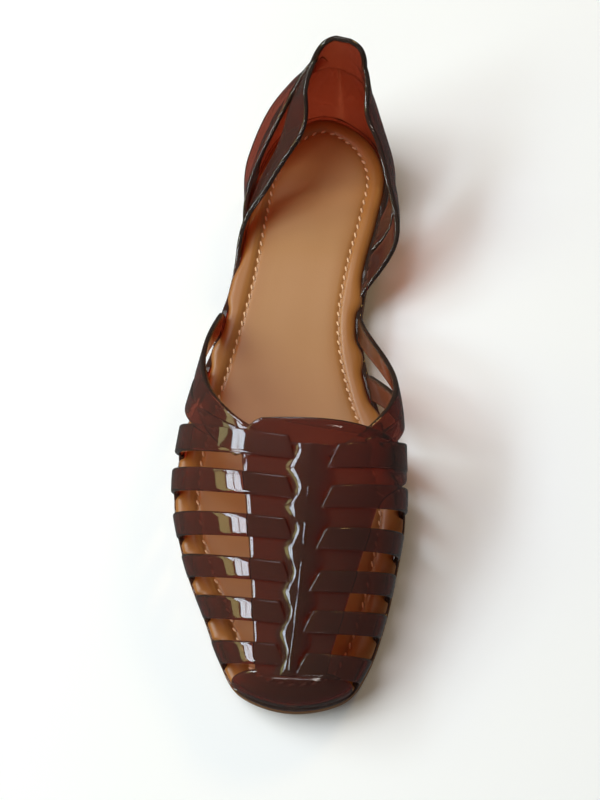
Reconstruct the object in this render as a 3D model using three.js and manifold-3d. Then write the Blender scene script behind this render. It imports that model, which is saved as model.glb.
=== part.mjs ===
// A flat huarache sandal for the right foot: a moulded soft PVC upper of crossing strips,
// a covered insole, a thin outsole and a low heel block. Lengths are millimetres, +Z is up,
// the toe points to -Y, and the outer (lateral) side of the foot is at -X.
import * as THREE from "three";
import { mergeVertices } from "three/addons/utils/BufferGeometryUtils.js";
import Module from "manifold-3d";

const wasm = await Module();
wasm.setup();

// Driving sizes of the last and the sole.
const INSOLE_LENGTH = 245;
const BALL_WIDTH = 83;
const INSTEP_HEIGHT = 47;
const HEEL_WALL_HEIGHT = 56;
const HEEL_BLOCK_HEIGHT = 7;
const HEEL_BLOCK_LENGTH = 64;
const TOE_SPRING = 5;
const OUTSOLE_THICKNESS = 4.2;
const INSOLE_THICKNESS = 2.6;
const CLEARANCE = 0.3;
const EDGE_BEVEL = 0.7;
const SOLE_MARGIN = 0.2;
const SOLE_TOP_BEVEL = 0.35;
const HEEL_TOP_INSET = 0.42;
const HEEL_SIDE_INSET = 0.98;
const HEEL_FOOT_INSET = 1.68;

// Driving sizes of the moulded upper.
const WALL = 1.9;
const RAND_WALL = 2.1;
const RAND_BEVEL = 0.6;
const RAND_LIP = 0.2;
const RAND_INSET = 0.55;
const SKIRT = 0.78;
const STRIP_RISE = 1.1;
const STRIP_LAP = 0.1;
const RIB_RISE = 2.4;
const BAND_TOE_HALF_WIDTH = 11.5;
const TONGUE_HALF_WIDTH = 26;
const TONGUE_LENGTH = 10;
const TONGUE_LIFT = 3;
const TONGUE_CORNER = 9;
const RIB_SHARE = 0.24;
const RIB_SWELL = 2;
const MEDIAL_RAND_SHIFT = 4;
const MEDIAL_CREST_SHIFT = 2.5;
const TOE_CAP_DEPTH = 9;
const TOE_CAP_FLANK = 4;
const TOE_CAP_LAP = 2;
const RIB_LAP = 2;
const TOE_TIP = 0.02;
const NOSE_DEPTH = 13;
const HEEL_TURN = 3;
const BACK_LEAN = 5.5;
const SIDE_LEAN = 27;
const TAB_DRIFT = 7;
const LATERAL_BULGE = 2;
const MEDIAL_BULGE = 12;
const HEEL_HOLLOW = 1.5;
const HEEL_MIDDLE = 0.5;
const COLLAR_BOW = 10;
const LATERAL_FLANK = 1.2;
const MEDIAL_FLANK = 2.4;

// Where those forms lie and how far they spread, as shares of the length, of the heel block's
// length or of the heel wall's height.
const COLLAR_PLACE = 0.5;
const COLLAR_SPREAD = 0.13;
const FLANK_END = 0.42;
const FLANK_FADE = 0.12;
const BULGE_PLACE = 1.22;
const BULGE_SPREAD = 0.42;
const BULGE_GATHER = 0.25;
const HOLLOW_TOP = 0.625;
const HOLLOW_SPREAD = 0.5;
const LEAN_START = 0.12;
const LEAN_END = 0.6;
const LEAN_POWER = 1.75;
const DRIFT_POWER = 1.4;
const STRIP_RAMP = [0.1, 0.7];
const BRANCH_RAMP = [0.6, 1];

// How finely the members are divided: rows along them and columns across.
const GRIDS = {
  strip: [12, 2],
  branch: [14, 2],
  band: [24, 6],
  rib: [36, 4],
  cap: [6, 14],
  heelStrip: [13, 2],
  counter: [13, 16],
};

// The insole's outline: offsets from the toe-to-heel line as shares of the ball width.
const OUTLINE = [
  { along: 0.02, lateral: 0.21, medial: 0.215 },
  { along: 0.06, lateral: 0.293, medial: 0.29 },
  { along: 0.12, lateral: 0.376, medial: 0.345 },
  { along: 0.2, lateral: 0.488, medial: 0.39 },
  { along: 0.3, lateral: 0.572, medial: 0.42 },
  { along: 0.4, lateral: 0.566, medial: 0.361 },
  { along: 0.5, lateral: 0.51, medial: 0.245 },
  { along: 0.6, lateral: 0.446, medial: 0.18 },
  { along: 0.7, lateral: 0.398, medial: 0.2 },
  { along: 0.8, lateral: 0.371, medial: 0.253 },
  { along: 0.89, lateral: 0.335, medial: 0.277 },
  { along: 0.96, lateral: 0.243, medial: 0.18 },
];
const HEEL_CENTRE = -0.04;

// The foot's crest line: height above the insole as a share of the instep height, and its
// offset towards the inner side as a share of the ball width.
const CREST = [
  { along: 0, height: 0.27, offset: 0 },
  { along: 0.05, height: 0.34, offset: 0.004 },
  { along: 0.1, height: 0.45, offset: 0.014 },
  { along: 0.2, height: 0.68, offset: 0.034 },
  { along: 0.3, height: 0.89, offset: 0.046 },
  { along: 0.37, height: 1, offset: 0.05 },
  { along: 0.45, height: 1.13, offset: 0.03 },
  { along: 0.55, height: 1.3, offset: -0.04 },
  { along: 0.65, height: 1.4, offset: -0.08 },
  { along: 1, height: 1.4, offset: -0.08 },
];

// The sole's underside above the floor: shares of the toe spring and of the heel's height.
const UNDERSIDE = [
  { along: 0, toe: 1, heel: 0 },
  { along: 0.06, toe: 0.56, heel: 0 },
  { along: 0.12, toe: 0.22, heel: 0 },
  { along: 0.2, toe: 0, heel: 0 },
  { along: 0.42, toe: 0, heel: 0 },
  { along: 0.52, toe: 0, heel: 0.24 },
  { along: 0.64, toe: 0, heel: 0.76 },
  { along: 0.74, toe: 0, heel: 1 },
  { along: 1, toe: 0, heel: 1 },
];

// The cross strips: middle and width at the rand and at the crest, as shares of the length.
const STRIPS = [
  { rand: 0.398, randWidth: 0.047, crest: 0.325, crestWidth: 0.031 },
  { rand: 0.33, randWidth: 0.037, crest: 0.273, crestWidth: 0.029 },
  { rand: 0.26, randWidth: 0.037, crest: 0.22, crestWidth: 0.028 },
  { rand: 0.199, randWidth: 0.035, crest: 0.164, crestWidth: 0.027 },
  { rand: 0.138, randWidth: 0.035, crest: 0.111, crestWidth: 0.03 },
  { rand: 0.07, randWidth: 0.034, crest: 0.056, crestWidth: 0.028 },
];

// The two collar branches that fan back from the throat: place and width along the length,
// and how far up the arch they lie, as a share of the crest's height.
const BRANCHES = [
  [
    { along: 0.604, width: 0.034, rise: 0 },
    { along: 0.53, width: 0.034, rise: 0.27 },
    { along: 0.455, width: 0.034, rise: 0.53 },
    { along: 0.4, width: 0.034, rise: 0.72 },
    { along: 0.362, width: 0.032, rise: 0.86 },
    { along: 0.338, width: 0.026, rise: 0.95 },
  ],
  [
    { along: 0.505, width: 0.038, rise: 0 },
    { along: 0.462, width: 0.036, rise: 0.25 },
    { along: 0.415, width: 0.032, rise: 0.5 },
    { along: 0.38, width: 0.028, rise: 0.7 },
    { along: 0.35, width: 0.024, rise: 0.87 },
  ],
];

// The heel's strips on each side: the way from the rand up to the tab. Arc is measured round
// the back of the outline as a share of the heel block's length. Rise, the half width and the
// pull, which draws a strip in over the insole on the outer side, are shares of the heel
// wall's height.
const HEEL_STRIPS = [
  [
    { arc: 1.34, rise: -0.02, half: 0.03, pull: 0 },
    { arc: 1.14, rise: 0.06, half: 0.075, pull: 0.01 },
    { arc: 0.93, rise: 0.19, half: 0.08, pull: 0.075 },
    { arc: 0.69, rise: 0.38, half: 0.075, pull: 0.13 },
    { arc: 0.42, rise: 0.6, half: 0.07, pull: 0.045 },
    { arc: 0.15, rise: 0.79, half: 0.065, pull: 0 },
  ],
  [
    { arc: 1.04, rise: -0.02, half: 0.04, pull: 0 },
    { arc: 0.86, rise: 0.08, half: 0.075, pull: -0.025 },
    { arc: 0.67, rise: 0.22, half: 0.07, pull: -0.05 },
    { arc: 0.47, rise: 0.4, half: 0.06, pull: -0.055 },
    { arc: 0.28, rise: 0.59, half: 0.06, pull: -0.035 },
    { arc: 0.1, rise: 0.74, half: 0.06, pull: -0.01 },
  ],
];
const MEDIAL_REACH = 1.1;

// The counter panel: its front edge, arc and rise as shares of the same two sizes.
const COUNTER_EDGE = [
  { rise: -0.05, arc: 0.76 },
  { rise: 0.1, arc: 0.62 },
  { rise: 0.25, arc: 0.45 },
  { rise: 0.42, arc: 0.31 },
  { rise: 0.6, arc: 0.22 },
  { rise: 0.78, arc: 0.2 },
  { rise: 0.88, arc: 0.192 },
  { rise: 0.95, arc: 0.16 },
  { rise: 0.985, arc: 0.115 },
  { rise: 1, arc: 0.06 },
];

const STATIONS = 42;
const SLOPE_STEP = 0.025;
const COUNTER_CROWDING = 1.6;
const LATERAL = -1;
const MEDIAL = 1;
const QUARTER = Math.PI / 2;

// A smooth curve through one column of a table, read at a value of its key column.
function column(rows, key, name) {
  const keys = rows.map((row) => row[key]);
  const values = rows.map((row) => row[name]);
  const last = rows.length - 1;
  const slope = (i) => {
    if (i === 0 || i === last) return 0;
    const before = (values[i] - values[i - 1]) / (keys[i] - keys[i - 1]);
    const after = (values[i + 1] - values[i]) / (keys[i + 1] - keys[i]);
    return before * after <= 0 ? 0 : (2 * before * after) / (before + after);
  };
  const slopes = keys.map((_, i) => slope(i));
  const straight = (i, j) => (values[j] - values[i]) / (keys[j] - keys[i]);
  slopes[0] = straight(0, 1);
  slopes[last] = straight(last - 1, last);
  return (at) => {
    const k = THREE.MathUtils.clamp(at, keys[0], keys[last]);
    let i = 0;
    while (i < last - 1 && k > keys[i + 1]) i += 1;
    const step = keys[i + 1] - keys[i];
    const t = (k - keys[i]) / step;
    const start = values[i] * (1 + 2 * t) * (1 - t) ** 2;
    const end = values[i + 1] * t * t * (3 - 2 * t);
    const lift = step * t * (1 - t) * (slopes[i] * (1 - t) - slopes[i + 1] * t);
    return start + end + lift;
  };
}

// The outline as one closed curve, from the toe tip along the inner side to the heel and back.
function outlineCurve() {
  const point = (along, side) =>
    new THREE.Vector3(side * BALL_WIDTH, along * INSOLE_LENGTH, 0);
  const inner = OUTLINE.map((row) => point(row.along, row.medial));
  const outer = OUTLINE.map((row) => point(row.along, -row.lateral)).reverse();
  const points = [point(0, 0), ...inner, point(1, HEEL_CENTRE), ...outer];
  return new THREE.CatmullRomCurve3(points, true, "centripetal");
}

const OUTLINE_SAMPLES = 720;
const outlinePoints = outlineCurve().getPoints(OUTLINE_SAMPLES).slice(0, -1);
const toeIndex = 0;
const heelIndex = outlinePoints.reduce(
  (best, p, i) => (p.y > outlinePoints[best].y ? i : best),
  0,
);

// A point of the outline at a fractional index, moved outwards by an offset.
function outlineAt(index, offset = 0) {
  const count = outlinePoints.length;
  const wrap = (i) => outlinePoints[((i % count) + count) % count];
  const low = Math.floor(index);
  const point = wrap(low).clone().lerp(wrap(low + 1), index - low);
  const tangent = wrap(low + 2).clone().sub(wrap(low - 1)).normalize();
  point.x += tangent.y * offset;
  point.y -= tangent.x * offset;
  return point;
}

// The fractional index on one side of the outline at a distance along the foot.
function indexAlong(y, side) {
  const count = outlinePoints.length;
  let low = side === MEDIAL ? toeIndex : count;
  let high = heelIndex;
  const end = outlinePoints[heelIndex].y;
  const target = THREE.MathUtils.clamp(y, 0, end);
  for (let i = 0; i < 40; i += 1) {
    const middle = (low + high) / 2;
    if (outlineAt(middle).y < target) low = middle;
    else high = middle;
  }
  return (low + high) / 2;
}

// Distances round the outline from the middle of the heel, for the rear wall.
const arcs = [0];
for (let i = 0; i < outlinePoints.length; i += 1) {
  const next = outlinePoints[(i + 1) % outlinePoints.length];
  arcs.push(arcs[i] + outlinePoints[i].distanceTo(next));
}
function indexAtArc(arc) {
  const total = arcs[arcs.length - 1];
  const target = (arcs[heelIndex] - arc + total) % total;
  let i = 0;
  while (i < arcs.length - 2 && arcs[i + 1] < target) i += 1;
  return i + (target - arcs[i]) / (arcs[i + 1] - arcs[i]);
}

const toeShare = column(UNDERSIDE, "along", "toe");
const heelShare = column(UNDERSIDE, "along", "heel");
const crestShare = column(CREST, "along", "height");
const crestOffset = column(CREST, "along", "offset");

const undersideAt = (y) =>
  toeShare(y / INSOLE_LENGTH) * TOE_SPRING +
  heelShare(y / INSOLE_LENGTH) * HEEL_BLOCK_HEIGHT;
const outsoleTop = (y) => undersideAt(y) + OUTSOLE_THICKNESS;
const insoleTop = (y) => outsoleTop(y) + CLEARANCE + INSOLE_THICKNESS;
const archBase = (y) => insoleTop(y) + CLEARANCE;

// A closed solid in manifold form from a geometry.
function solid(geometry) {
  geometry.deleteAttribute("normal");
  geometry.deleteAttribute("uv");
  const merged = mergeVertices(geometry, 1e-4);
  return new wasm.Manifold(
    new wasm.Mesh({
      numProp: 3,
      vertProperties: new Float32Array(merged.attributes.position.array),
      triVerts: new Uint32Array(merged.index.array),
    }),
  );
}

function geometryOf(points, faces) {
  const geometry = new THREE.BufferGeometry();
  const flat = points.flatMap((p) => [p.x, p.y, p.z]);
  geometry.setAttribute("position", new THREE.Float32BufferAttribute(flat, 3));
  geometry.setIndex(faces.flat());
  return geometry;
}

function geometryFromSolid(body) {
  const mesh = body.getMesh();
  const geometry = new THREE.BufferGeometry();
  const position = new THREE.BufferAttribute(mesh.vertProperties, 3);
  geometry.setAttribute("position", position);
  geometry.setIndex(new THREE.BufferAttribute(mesh.triVerts, 1));
  return geometry;
}

// The biggest body of a join, without the crumbs where two faces lie together.
const largest = (body) =>
  body.decompose().reduce((best, part) => (part.volume() > best.volume() ? part : best));

// The outline's stations: toe tip, inner side, heel, outer side, closer together at the ends.
function ringIndices() {
  const levels = [];
  for (let i = 1; i < STATIONS; i += 1)
    levels.push((outlinePoints[heelIndex].y * (1 - Math.cos((Math.PI * i) / STATIONS))) / 2);
  const inner = levels.map((y) => indexAlong(y, MEDIAL));
  const outer = levels.map((y) => indexAlong(y, LATERAL)).reverse();
  return [toeIndex, ...inner, heelIndex, ...outer];
}
const RING = ringIndices();

// A ring of points round the outline at an offset, with its height as a function of y.
const ring = (offset, height) =>
  RING.map((index) => {
    const p = outlineAt(index, offset);
    p.z = height(p.y);
    return p;
  });

// A plate between rings that are listed from its underside up, capped across the foot.
function plate(rings) {
  const n = RING.length;
  const faces = [];
  for (let r = 0; r + 1 < rings.length; r += 1)
    for (let i = 0; i < n; i += 1) {
      const a = r * n + i;
      const b = r * n + ((i + 1) % n);
      faces.push([a, b, b + n], [a, b + n, a + n]);
    }
  const cap = (start, flip) => {
    for (let i = 0; i < STATIONS; i += 1) {
      const a = start + i;
      const b = start + i + 1;
      const c = start + ((n - i - 1) % n);
      const d = start + ((n - i) % n);
      const pair = [[a, b, c], [a, c, d]];
      for (const [p, q, s] of pair)
        if (p !== q && q !== s && s !== p) faces.push(flip ? [p, s, q] : [p, q, s]);
    }
  };
  cap(0, true);
  cap((rings.length - 1) * n, false);
  return geometryOf(rings.flat(), faces);
}

// A closed band round the outline from a section of offsets and heights, listed clockwise.
function hoop(section) {
  const n = RING.length;
  const rings = section.map(({ offset, height }) => ring(offset, height));
  const faces = [];
  for (let r = 0; r < rings.length; r += 1)
    for (let i = 0; i < n; i += 1) {
      const next = ((r + 1) % rings.length) * n;
      const a = r * n + i;
      const b = r * n + ((i + 1) % n);
      const c = next + ((i + 1) % n);
      const d = next + i;
      faces.push([a, b, c], [a, c, d]);
    }
  return geometryOf(rings.flat(), faces);
}

// A surface's outward normal: its two coordinates are named so that this cross product
// points away from the foot.
function normalOf(surface, across, along) {
  const step = 1e-3;
  const sideways = surface(across + step, along).sub(surface(across - step, along));
  const lengthways = surface(across, along + step).sub(surface(across, along - step));
  return sideways.cross(lengthways).normalize();
}

// A wall of even thickness over a surface: at(u, v) gives a place on it, and the wall stands
// between two distances from it along the surface's outward normal.
function wallPatch(surface, at, [rows, columns], inner, outer) {
  const points = [];
  const width = columns + 1;
  const layer = (rows + 1) * width;
  for (const distance of [inner, outer])
    for (let i = 0; i <= rows; i += 1)
      for (let j = 0; j <= columns; j += 1) {
        const u = i / rows;
        const v = j / columns;
        const lift = typeof distance === "function" ? distance(u, v) : distance;
        const [across, along] = at(u, v);
        const normal = normalOf(surface, across, along);
        points.push(surface(across, along).addScaledVector(normal, lift));
      }
  const faces = [];
  const quad = (a, b, c, d) => faces.push([a, b, c], [a, c, d]);
  for (let i = 0; i < rows; i += 1)
    for (let j = 0; j < columns; j += 1) {
      const a = i * width + j;
      const b = a + width;
      quad(a, a + 1, b + 1, b);
      quad(layer + a, layer + b, layer + b + 1, layer + a + 1);
    }
  for (let i = 0; i < rows; i += 1) {
    const a = i * width;
    const b = a + columns;
    quad(a, a + width, layer + a + width, layer + a);
    quad(b, layer + b, layer + b + width, b + width);
  }
  for (let j = 0; j < columns; j += 1) {
    const a = j;
    const b = rows * width + j;
    quad(a, layer + a, layer + a + 1, a + 1);
    quad(b, b + 1, layer + b + 1, layer + b);
  }
  const geometry = geometryOf(points, faces);
  const made = solid(geometry);
  if (made.volume() > 0) return made;
  return solid(geometryOf(points, faces.map(([a, b, c]) => [a, c, b])));
}

// The rounded nose: how much of the crest's height is reached at a distance from the toe.
function noseShare(y) {
  const t = THREE.MathUtils.clamp(y / NOSE_DEPTH, 0, 1);
  return Math.sqrt(1 - (1 - t) ** 2);
}
const crestHeight = (y) =>
  crestShare(y / INSOLE_LENGTH) * INSTEP_HEIGHT * noseShare(y);
const crestX = (y) => crestOffset(y / INSOLE_LENGTH) * BALL_WIDTH;
const SHOULDER = 0.88;

// A point of the vamp's inner face: how far along the foot, and how far from the crest
// (0) to the edge of the sole (1 inner side, -1 outer side), and past 1 down the rand.
function vampPoint(arch, y) {
  const side = arch < 0 ? LATERAL : MEDIAL;
  const reach = Math.abs(arch);
  const angle = (1 - Math.min(reach, 1)) * QUARTER;
  const edge = outlineAt(indexAlong(Math.max(y, TOE_TIP), side), RAND_INSET).x;
  const half = Math.abs(edge - crestX(y));
  const along = y / INSOLE_LENGTH;
  const collar = Math.exp(-(((along - COLLAR_PLACE) / COLLAR_SPREAD) ** 2));
  const bow = side === MEDIAL ? COLLAR_BOW * collar : 0;
  const ahead = 1 - THREE.MathUtils.smoothstep(along, FLANK_END, FLANK_END + FLANK_FADE);
  const flank = (side === MEDIAL ? MEDIAL_FLANK : LATERAL_FLANK) * ahead * noseShare(y);
  const swell = (bow + flank * Math.cos(angle) ** 2) * Math.sin(2 * angle);
  const x = crestX(y) + side * (half * Math.cos(angle) ** SHOULDER + swell);
  const drop = Math.max(reach - 1, 0) * crestHeight(y);
  const z = archBase(y) + crestHeight(y) * Math.sin(angle) - drop;
  return new THREE.Vector3(x, y, z);
}
const archAtRise = (rise) => 1 - Math.asin(Math.min(rise, 1)) / QUARTER;
const archAtWidth = (y, side, width) => {
  const edge = outlineAt(indexAlong(y, side), RAND_INSET).x;
  const share = Math.min(width / Math.abs(edge - crestX(y)), 1);
  return 1 - Math.acos(share ** (1 / SHOULDER)) / QUARTER;
};
const skirtReach = (y) => 1 + SKIRT / Math.max(crestHeight(y), SKIRT);

// One cross strip on one side, from below the rand's top edge to the rib.
function crossStrip(row, side) {
  const inward = side === MEDIAL ? 1 : 0;
  const randY = row.rand * INSOLE_LENGTH - inward * MEDIAL_RAND_SHIFT;
  const crestY = row.crest * INSOLE_LENGTH - inward * MEDIAL_CREST_SHIFT;
  const start = skirtReach(randY);
  const end = archAtWidth(crestY, side, bandHalfWidth(crestY) * RIB_SHARE * 0.5);
  const at = (u, v) => {
    const reach = THREE.MathUtils.lerp(start, end, u);
    const climb = THREE.MathUtils.clamp(1 - reach, 0, 1);
    const share = 0.5 * (climb + Math.sin(climb * QUARTER));
    const middle = THREE.MathUtils.lerp(randY, crestY, share);
    const width = THREE.MathUtils.lerp(row.randWidth, row.crestWidth, climb) * INSOLE_LENGTH;
    return [side * reach, middle + (v - 0.5) * width];
  };
  const inner = (u) => STRIP_RISE * THREE.MathUtils.smoothstep(u, ...STRIP_RAMP);
  const outer = (u) => inner(u) + STRIP_LAP + WALL;
  return wallPatch(vampPoint, at, GRIDS.strip, inner, outer);
}

// One branch of the collar on one side.
function collarBranch(rows, side) {
  const keyed = rows.map((row, i) => ({ ...row, step: i / (rows.length - 1) }));
  const along = column(keyed, "step", "along");
  const width = column(keyed, "step", "width");
  const rise = column(keyed, "step", "rise");
  const shift = side === MEDIAL ? MEDIAL_CREST_SHIFT : 0;
  const foot = skirtReach(rows[0].along * INSOLE_LENGTH);
  const middle = (u) => {
    const reach = u <= 0 ? foot : archAtRise(rise(u));
    return new THREE.Vector2(along(u) * INSOLE_LENGTH - shift * u, reach);
  };
  const at = (u, v) => {
    const here = middle(u);
    const half = (v - 0.5) * width(u) * INSOLE_LENGTH;
    const forward = Math.min(u + SLOPE_STEP, 1);
    const back = Math.max(u - SLOPE_STEP, 0);
    const rising = rise(forward) - rise(back);
    const running = along(forward) - along(back);
    const height = crestHeight(here.x);
    const way = new THREE.Vector2(running * INSOLE_LENGTH, rising * height).normalize();
    const level = Math.max(rise(u) * height - way.x * half, 0);
    const y = here.x + way.y * half;
    const reach = u <= 0 ? foot : archAtRise(Math.min(level / crestHeight(y), 0.999));
    return [side * reach, y];
  };
  const lift = (u) => STRIP_RISE * THREE.MathUtils.smoothstep(u, ...BRANCH_RAMP);
  return wallPatch(vampPoint, at, GRIDS.branch, lift, (u) => lift(u) + WALL);
}

const THROAT = STRIPS[0].crest * INSOLE_LENGTH;
const TONGUE_END = THROAT + TONGUE_LENGTH;

// The band tapers straight from the tongue to the toe cap.
const bandHalfWidth = (y) =>
  THREE.MathUtils.mapLinear(y, TOE_CAP_DEPTH, TONGUE_END, BAND_TOE_HALF_WIDTH, TONGUE_HALF_WIDTH);

// A place across the crest, from the share -1 to 1 of a half width.
const acrossCrest = (y, share, halfWidth) => {
  const side = share < 0 ? LATERAL : MEDIAL;
  return side * archAtWidth(y, side, halfWidth * Math.abs(share));
};

// The middle band under the strips, from the toe to the flared tongue.
function middleBand() {
  const start = TOE_CAP_DEPTH - TOE_CAP_LAP;
  const at = (u, v) => {
    const y = THREE.MathUtils.lerp(start, TONGUE_END, u);
    const into = THREE.MathUtils.clamp(1 - (TONGUE_END - y) / TONGUE_CORNER, 0, 0.98);
    const round = TONGUE_CORNER * (1 - Math.sqrt(1 - into ** 2));
    return [acrossCrest(y, 2 * v - 1, bandHalfWidth(y) - round), y];
  };
  const flared = (arch, y) => {
    const point = vampPoint(arch, y);
    const lift = THREE.MathUtils.clamp((y - THROAT) / TONGUE_LENGTH, 0, 1) ** 2;
    point.z += TONGUE_LIFT * lift;
    return point;
  };
  return wallPatch(flared, at, GRIDS.band, 0, WALL);
}

// The raised rib along the crest: it swells between the strips and narrows on them.
function centreRib() {
  const start = TOE_CAP_DEPTH - RIB_LAP / 2;
  const end = THROAT + RIB_LAP;
  const crests = STRIPS.map((row) => row.crest * INSOLE_LENGTH);
  const pitch = (crests[0] - crests[crests.length - 1]) / (crests.length - 1);
  const half = (y) => {
    const nearest = Math.min(...crests.map((c) => Math.abs(c - y)));
    const swell = THREE.MathUtils.smoothstep(nearest, 0, pitch / 2);
    return bandHalfWidth(y) * RIB_SHARE + RIB_SWELL * swell;
  };
  const at = (u, v) => {
    const y = THREE.MathUtils.lerp(start, end, u);
    const nearer = v < 0.5 ? y : y + MEDIAL_CREST_SHIFT;
    return [acrossCrest(y, 2 * v - 1, half(nearer)), y];
  };
  const top = (u, v) => WALL + RIB_RISE * (1 - Math.abs(2 * v - 1) ** 2);
  return wallPatch(vampPoint, at, GRIDS.rib, WALL / 2, top);
}

// The solid toe cap over the nose: full width at the rand, and drawn in to the band above.
function toeCap() {
  const at = (u, v) => {
    const y = TOE_CAP_DEPTH * Math.max(u, 0.05) ** 2;
    const drawn = THREE.MathUtils.smoothstep(y, TOE_CAP_FLANK, TOE_CAP_DEPTH);
    const side = v < 0.5 ? LATERAL : MEDIAL;
    const narrow = archAtWidth(y, side, BAND_TOE_HALF_WIDTH + TOE_CAP_LAP);
    return [(2 * v - 1) * THREE.MathUtils.lerp(1, narrow, drawn), y];
  };
  return wallPatch(vampPoint, at, GRIDS.cap, 0, WALL);
}

// A point of the rear wall's inner face, from a rise above the insole and an arc round the
// heel. The wall leans in over the heel and the strips bow out on the inner side.
function heelPoint(rise, arc, inward = 0) {
  const side = arc < 0 ? LATERAL : MEDIAL;
  const share = THREE.MathUtils.clamp(rise / HEEL_WALL_HEIGHT, 0, 1.1);
  const far = Math.abs(arc) / HEEL_BLOCK_LENGTH;
  const gather = Math.sin(Math.min(share / BULGE_GATHER, 1) * QUARTER);
  const bow = Math.exp(-(((far - BULGE_PLACE) / BULGE_SPREAD) ** 2)) * gather;
  const bulge = (side === MEDIAL ? MEDIAL_BULGE : LATERAL_BULGE) * bow;
  const middle = Math.exp(-((far / HOLLOW_SPREAD) ** 2));
  const hollow = HEEL_HOLLOW * Math.sin(Math.PI * Math.min(share / HOLLOW_TOP, 1)) * middle;
  const turned = THREE.MathUtils.smoothstep(far, LEAN_START, LEAN_END);
  const leaning = THREE.MathUtils.lerp(BACK_LEAN, SIDE_LEAN, turned) * share ** LEAN_POWER;
  const offset = RAND_INSET + bulge + hollow - leaning - inward;
  const point = outlineAt(indexAtArc(arc + HEEL_TURN), offset);
  point.x += TAB_DRIFT * share ** DRIFT_POWER;
  point.z = archBase(point.y) + rise;
  return point;
}

// One strip of the heel on one side.
function heelStrip(rows, side) {
  const reach = HEEL_BLOCK_LENGTH * (side === MEDIAL ? MEDIAL_REACH : 1);
  const keyed = rows.map((row, i) => ({ ...row, step: i / (rows.length - 1) }));
  const arc = column(keyed, "step", "arc");
  const rise = column(keyed, "step", "rise");
  const half = column(keyed, "step", "half");
  const pull = column([...rows].reverse(), "arc", "pull");
  const pulled = (level, distance) => {
    const inward = side === LATERAL ? pull(Math.abs(distance) / reach) * HEEL_WALL_HEIGHT : 0;
    return heelPoint(level, distance, inward);
  };
  const at = (u, v) => {
    const forward = Math.min(u + SLOPE_STEP, 1);
    const back = Math.max(u - SLOPE_STEP, 0);
    const run = (arc(forward) - arc(back)) * reach;
    const climb = (rise(forward) - rise(back)) * HEEL_WALL_HEIGHT;
    const way = new THREE.Vector2(run, climb).normalize();
    const out = (2 * v - 1) * half(u) * HEEL_WALL_HEIGHT;
    const level = Math.max(rise(u) * HEEL_WALL_HEIGHT - way.x * out, -SKIRT);
    const distance = arc(u) * reach + way.y * out;
    return [level, side * Math.max(distance, HEEL_MIDDLE)];
  };
  return wallPatch(pulled, at, GRIDS.heelStrip, 0, WALL);
}

// The counter panel and the tab round the back of the heel.
function counter() {
  const edge = column(COUNTER_EDGE, "rise", "arc");
  const low = COUNTER_EDGE[0].rise;
  const at = (u, v) => {
    const share = THREE.MathUtils.lerp(1, low, (1 - u) ** COUNTER_CROWDING);
    const reach = edge(share) * HEEL_BLOCK_LENGTH;
    return [Math.max(share * HEEL_WALL_HEIGHT, -SKIRT), (2 * v - 1) * reach];
  };
  return wallPatch(heelPoint, at, GRIDS.counter, 0, WALL);
}

// The rand: the thin moulded edge that holds the insole all round.
function rand() {
  const low = (y) => outsoleTop(y) + CLEARANCE;
  const high = (y) => archBase(y) + RAND_LIP;
  const inner = CLEARANCE;
  const outer = CLEARANCE + RAND_WALL;
  return solid(
    hoop([
      { offset: inner, height: low },
      { offset: outer, height: low },
      { offset: outer, height: (y) => high(y) - RAND_BEVEL },
      { offset: outer - RAND_BEVEL, height: high },
      { offset: inner, height: high },
    ]),
  );
}

function upper() {
  const pieces = [middleBand(), centreRib(), toeCap(), counter()];
  for (const side of [LATERAL, MEDIAL]) {
    for (const row of STRIPS) pieces.push(crossStrip(row, side));
    for (const rows of BRANCHES) pieces.push(collarBranch(rows, side));
    for (const rows of HEEL_STRIPS) pieces.push(heelStrip(rows, side));
  }
  const joined = pieces.reduce((body, piece) => body.add(piece), rand());
  return geometryFromSolid(largest(joined));
}

const SOLE_EDGE = CLEARANCE + RAND_WALL + SOLE_MARGIN;

function outsole() {
  return plate([
    ring(SOLE_EDGE - EDGE_BEVEL, undersideAt),
    ring(SOLE_EDGE, (y) => undersideAt(y) + EDGE_BEVEL),
    ring(SOLE_EDGE, (y) => outsoleTop(y) - SOLE_TOP_BEVEL),
    ring(SOLE_EDGE - SOLE_TOP_BEVEL, outsoleTop),
  ]);
}

function insole() {
  const low = (y) => outsoleTop(y) + CLEARANCE;
  return plate([
    ring(0, low),
    ring(0, (y) => insoleTop(y) - EDGE_BEVEL),
    ring(-EDGE_BEVEL, insoleTop),
  ]);
}

// The heel block: the outsole's own outline behind the breast, tapering a little downwards.
function heelBlock() {
  const lowest = EDGE_BEVEL + CLEARANCE;
  const top = (y) => Math.max(undersideAt(y) - CLEARANCE, lowest);
  const block = solid(
    plate([
      ring(SOLE_EDGE - HEEL_FOOT_INSET, () => 0),
      ring(SOLE_EDGE - HEEL_SIDE_INSET, () => EDGE_BEVEL),
      ring(SOLE_EDGE - HEEL_TOP_INSET, top),
    ]),
  );
  const reach = BALL_WIDTH * 2;
  const cutter = new THREE.BoxGeometry(reach, INSOLE_LENGTH * 2, reach);
  const breast = outlinePoints[heelIndex].y + SOLE_EDGE - HEEL_BLOCK_LENGTH;
  cutter.translate(0, breast - INSOLE_LENGTH, 0);
  return geometryFromSolid(block.subtract(solid(cutter)));
}

const PVC = { color: 0x4a2018, roughness: 0.12, metalness: 0 };
const COVER = { color: 0xae7f52, roughness: 0.55, metalness: 0 };
const RUBBER = { color: 0x7a5226, roughness: 0.7, metalness: 0 };

function piece(name, geometry, look) {
  const mesh = new THREE.Mesh(geometry, new THREE.MeshStandardMaterial(look));
  mesh.name = name;
  return mesh;
}

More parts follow.
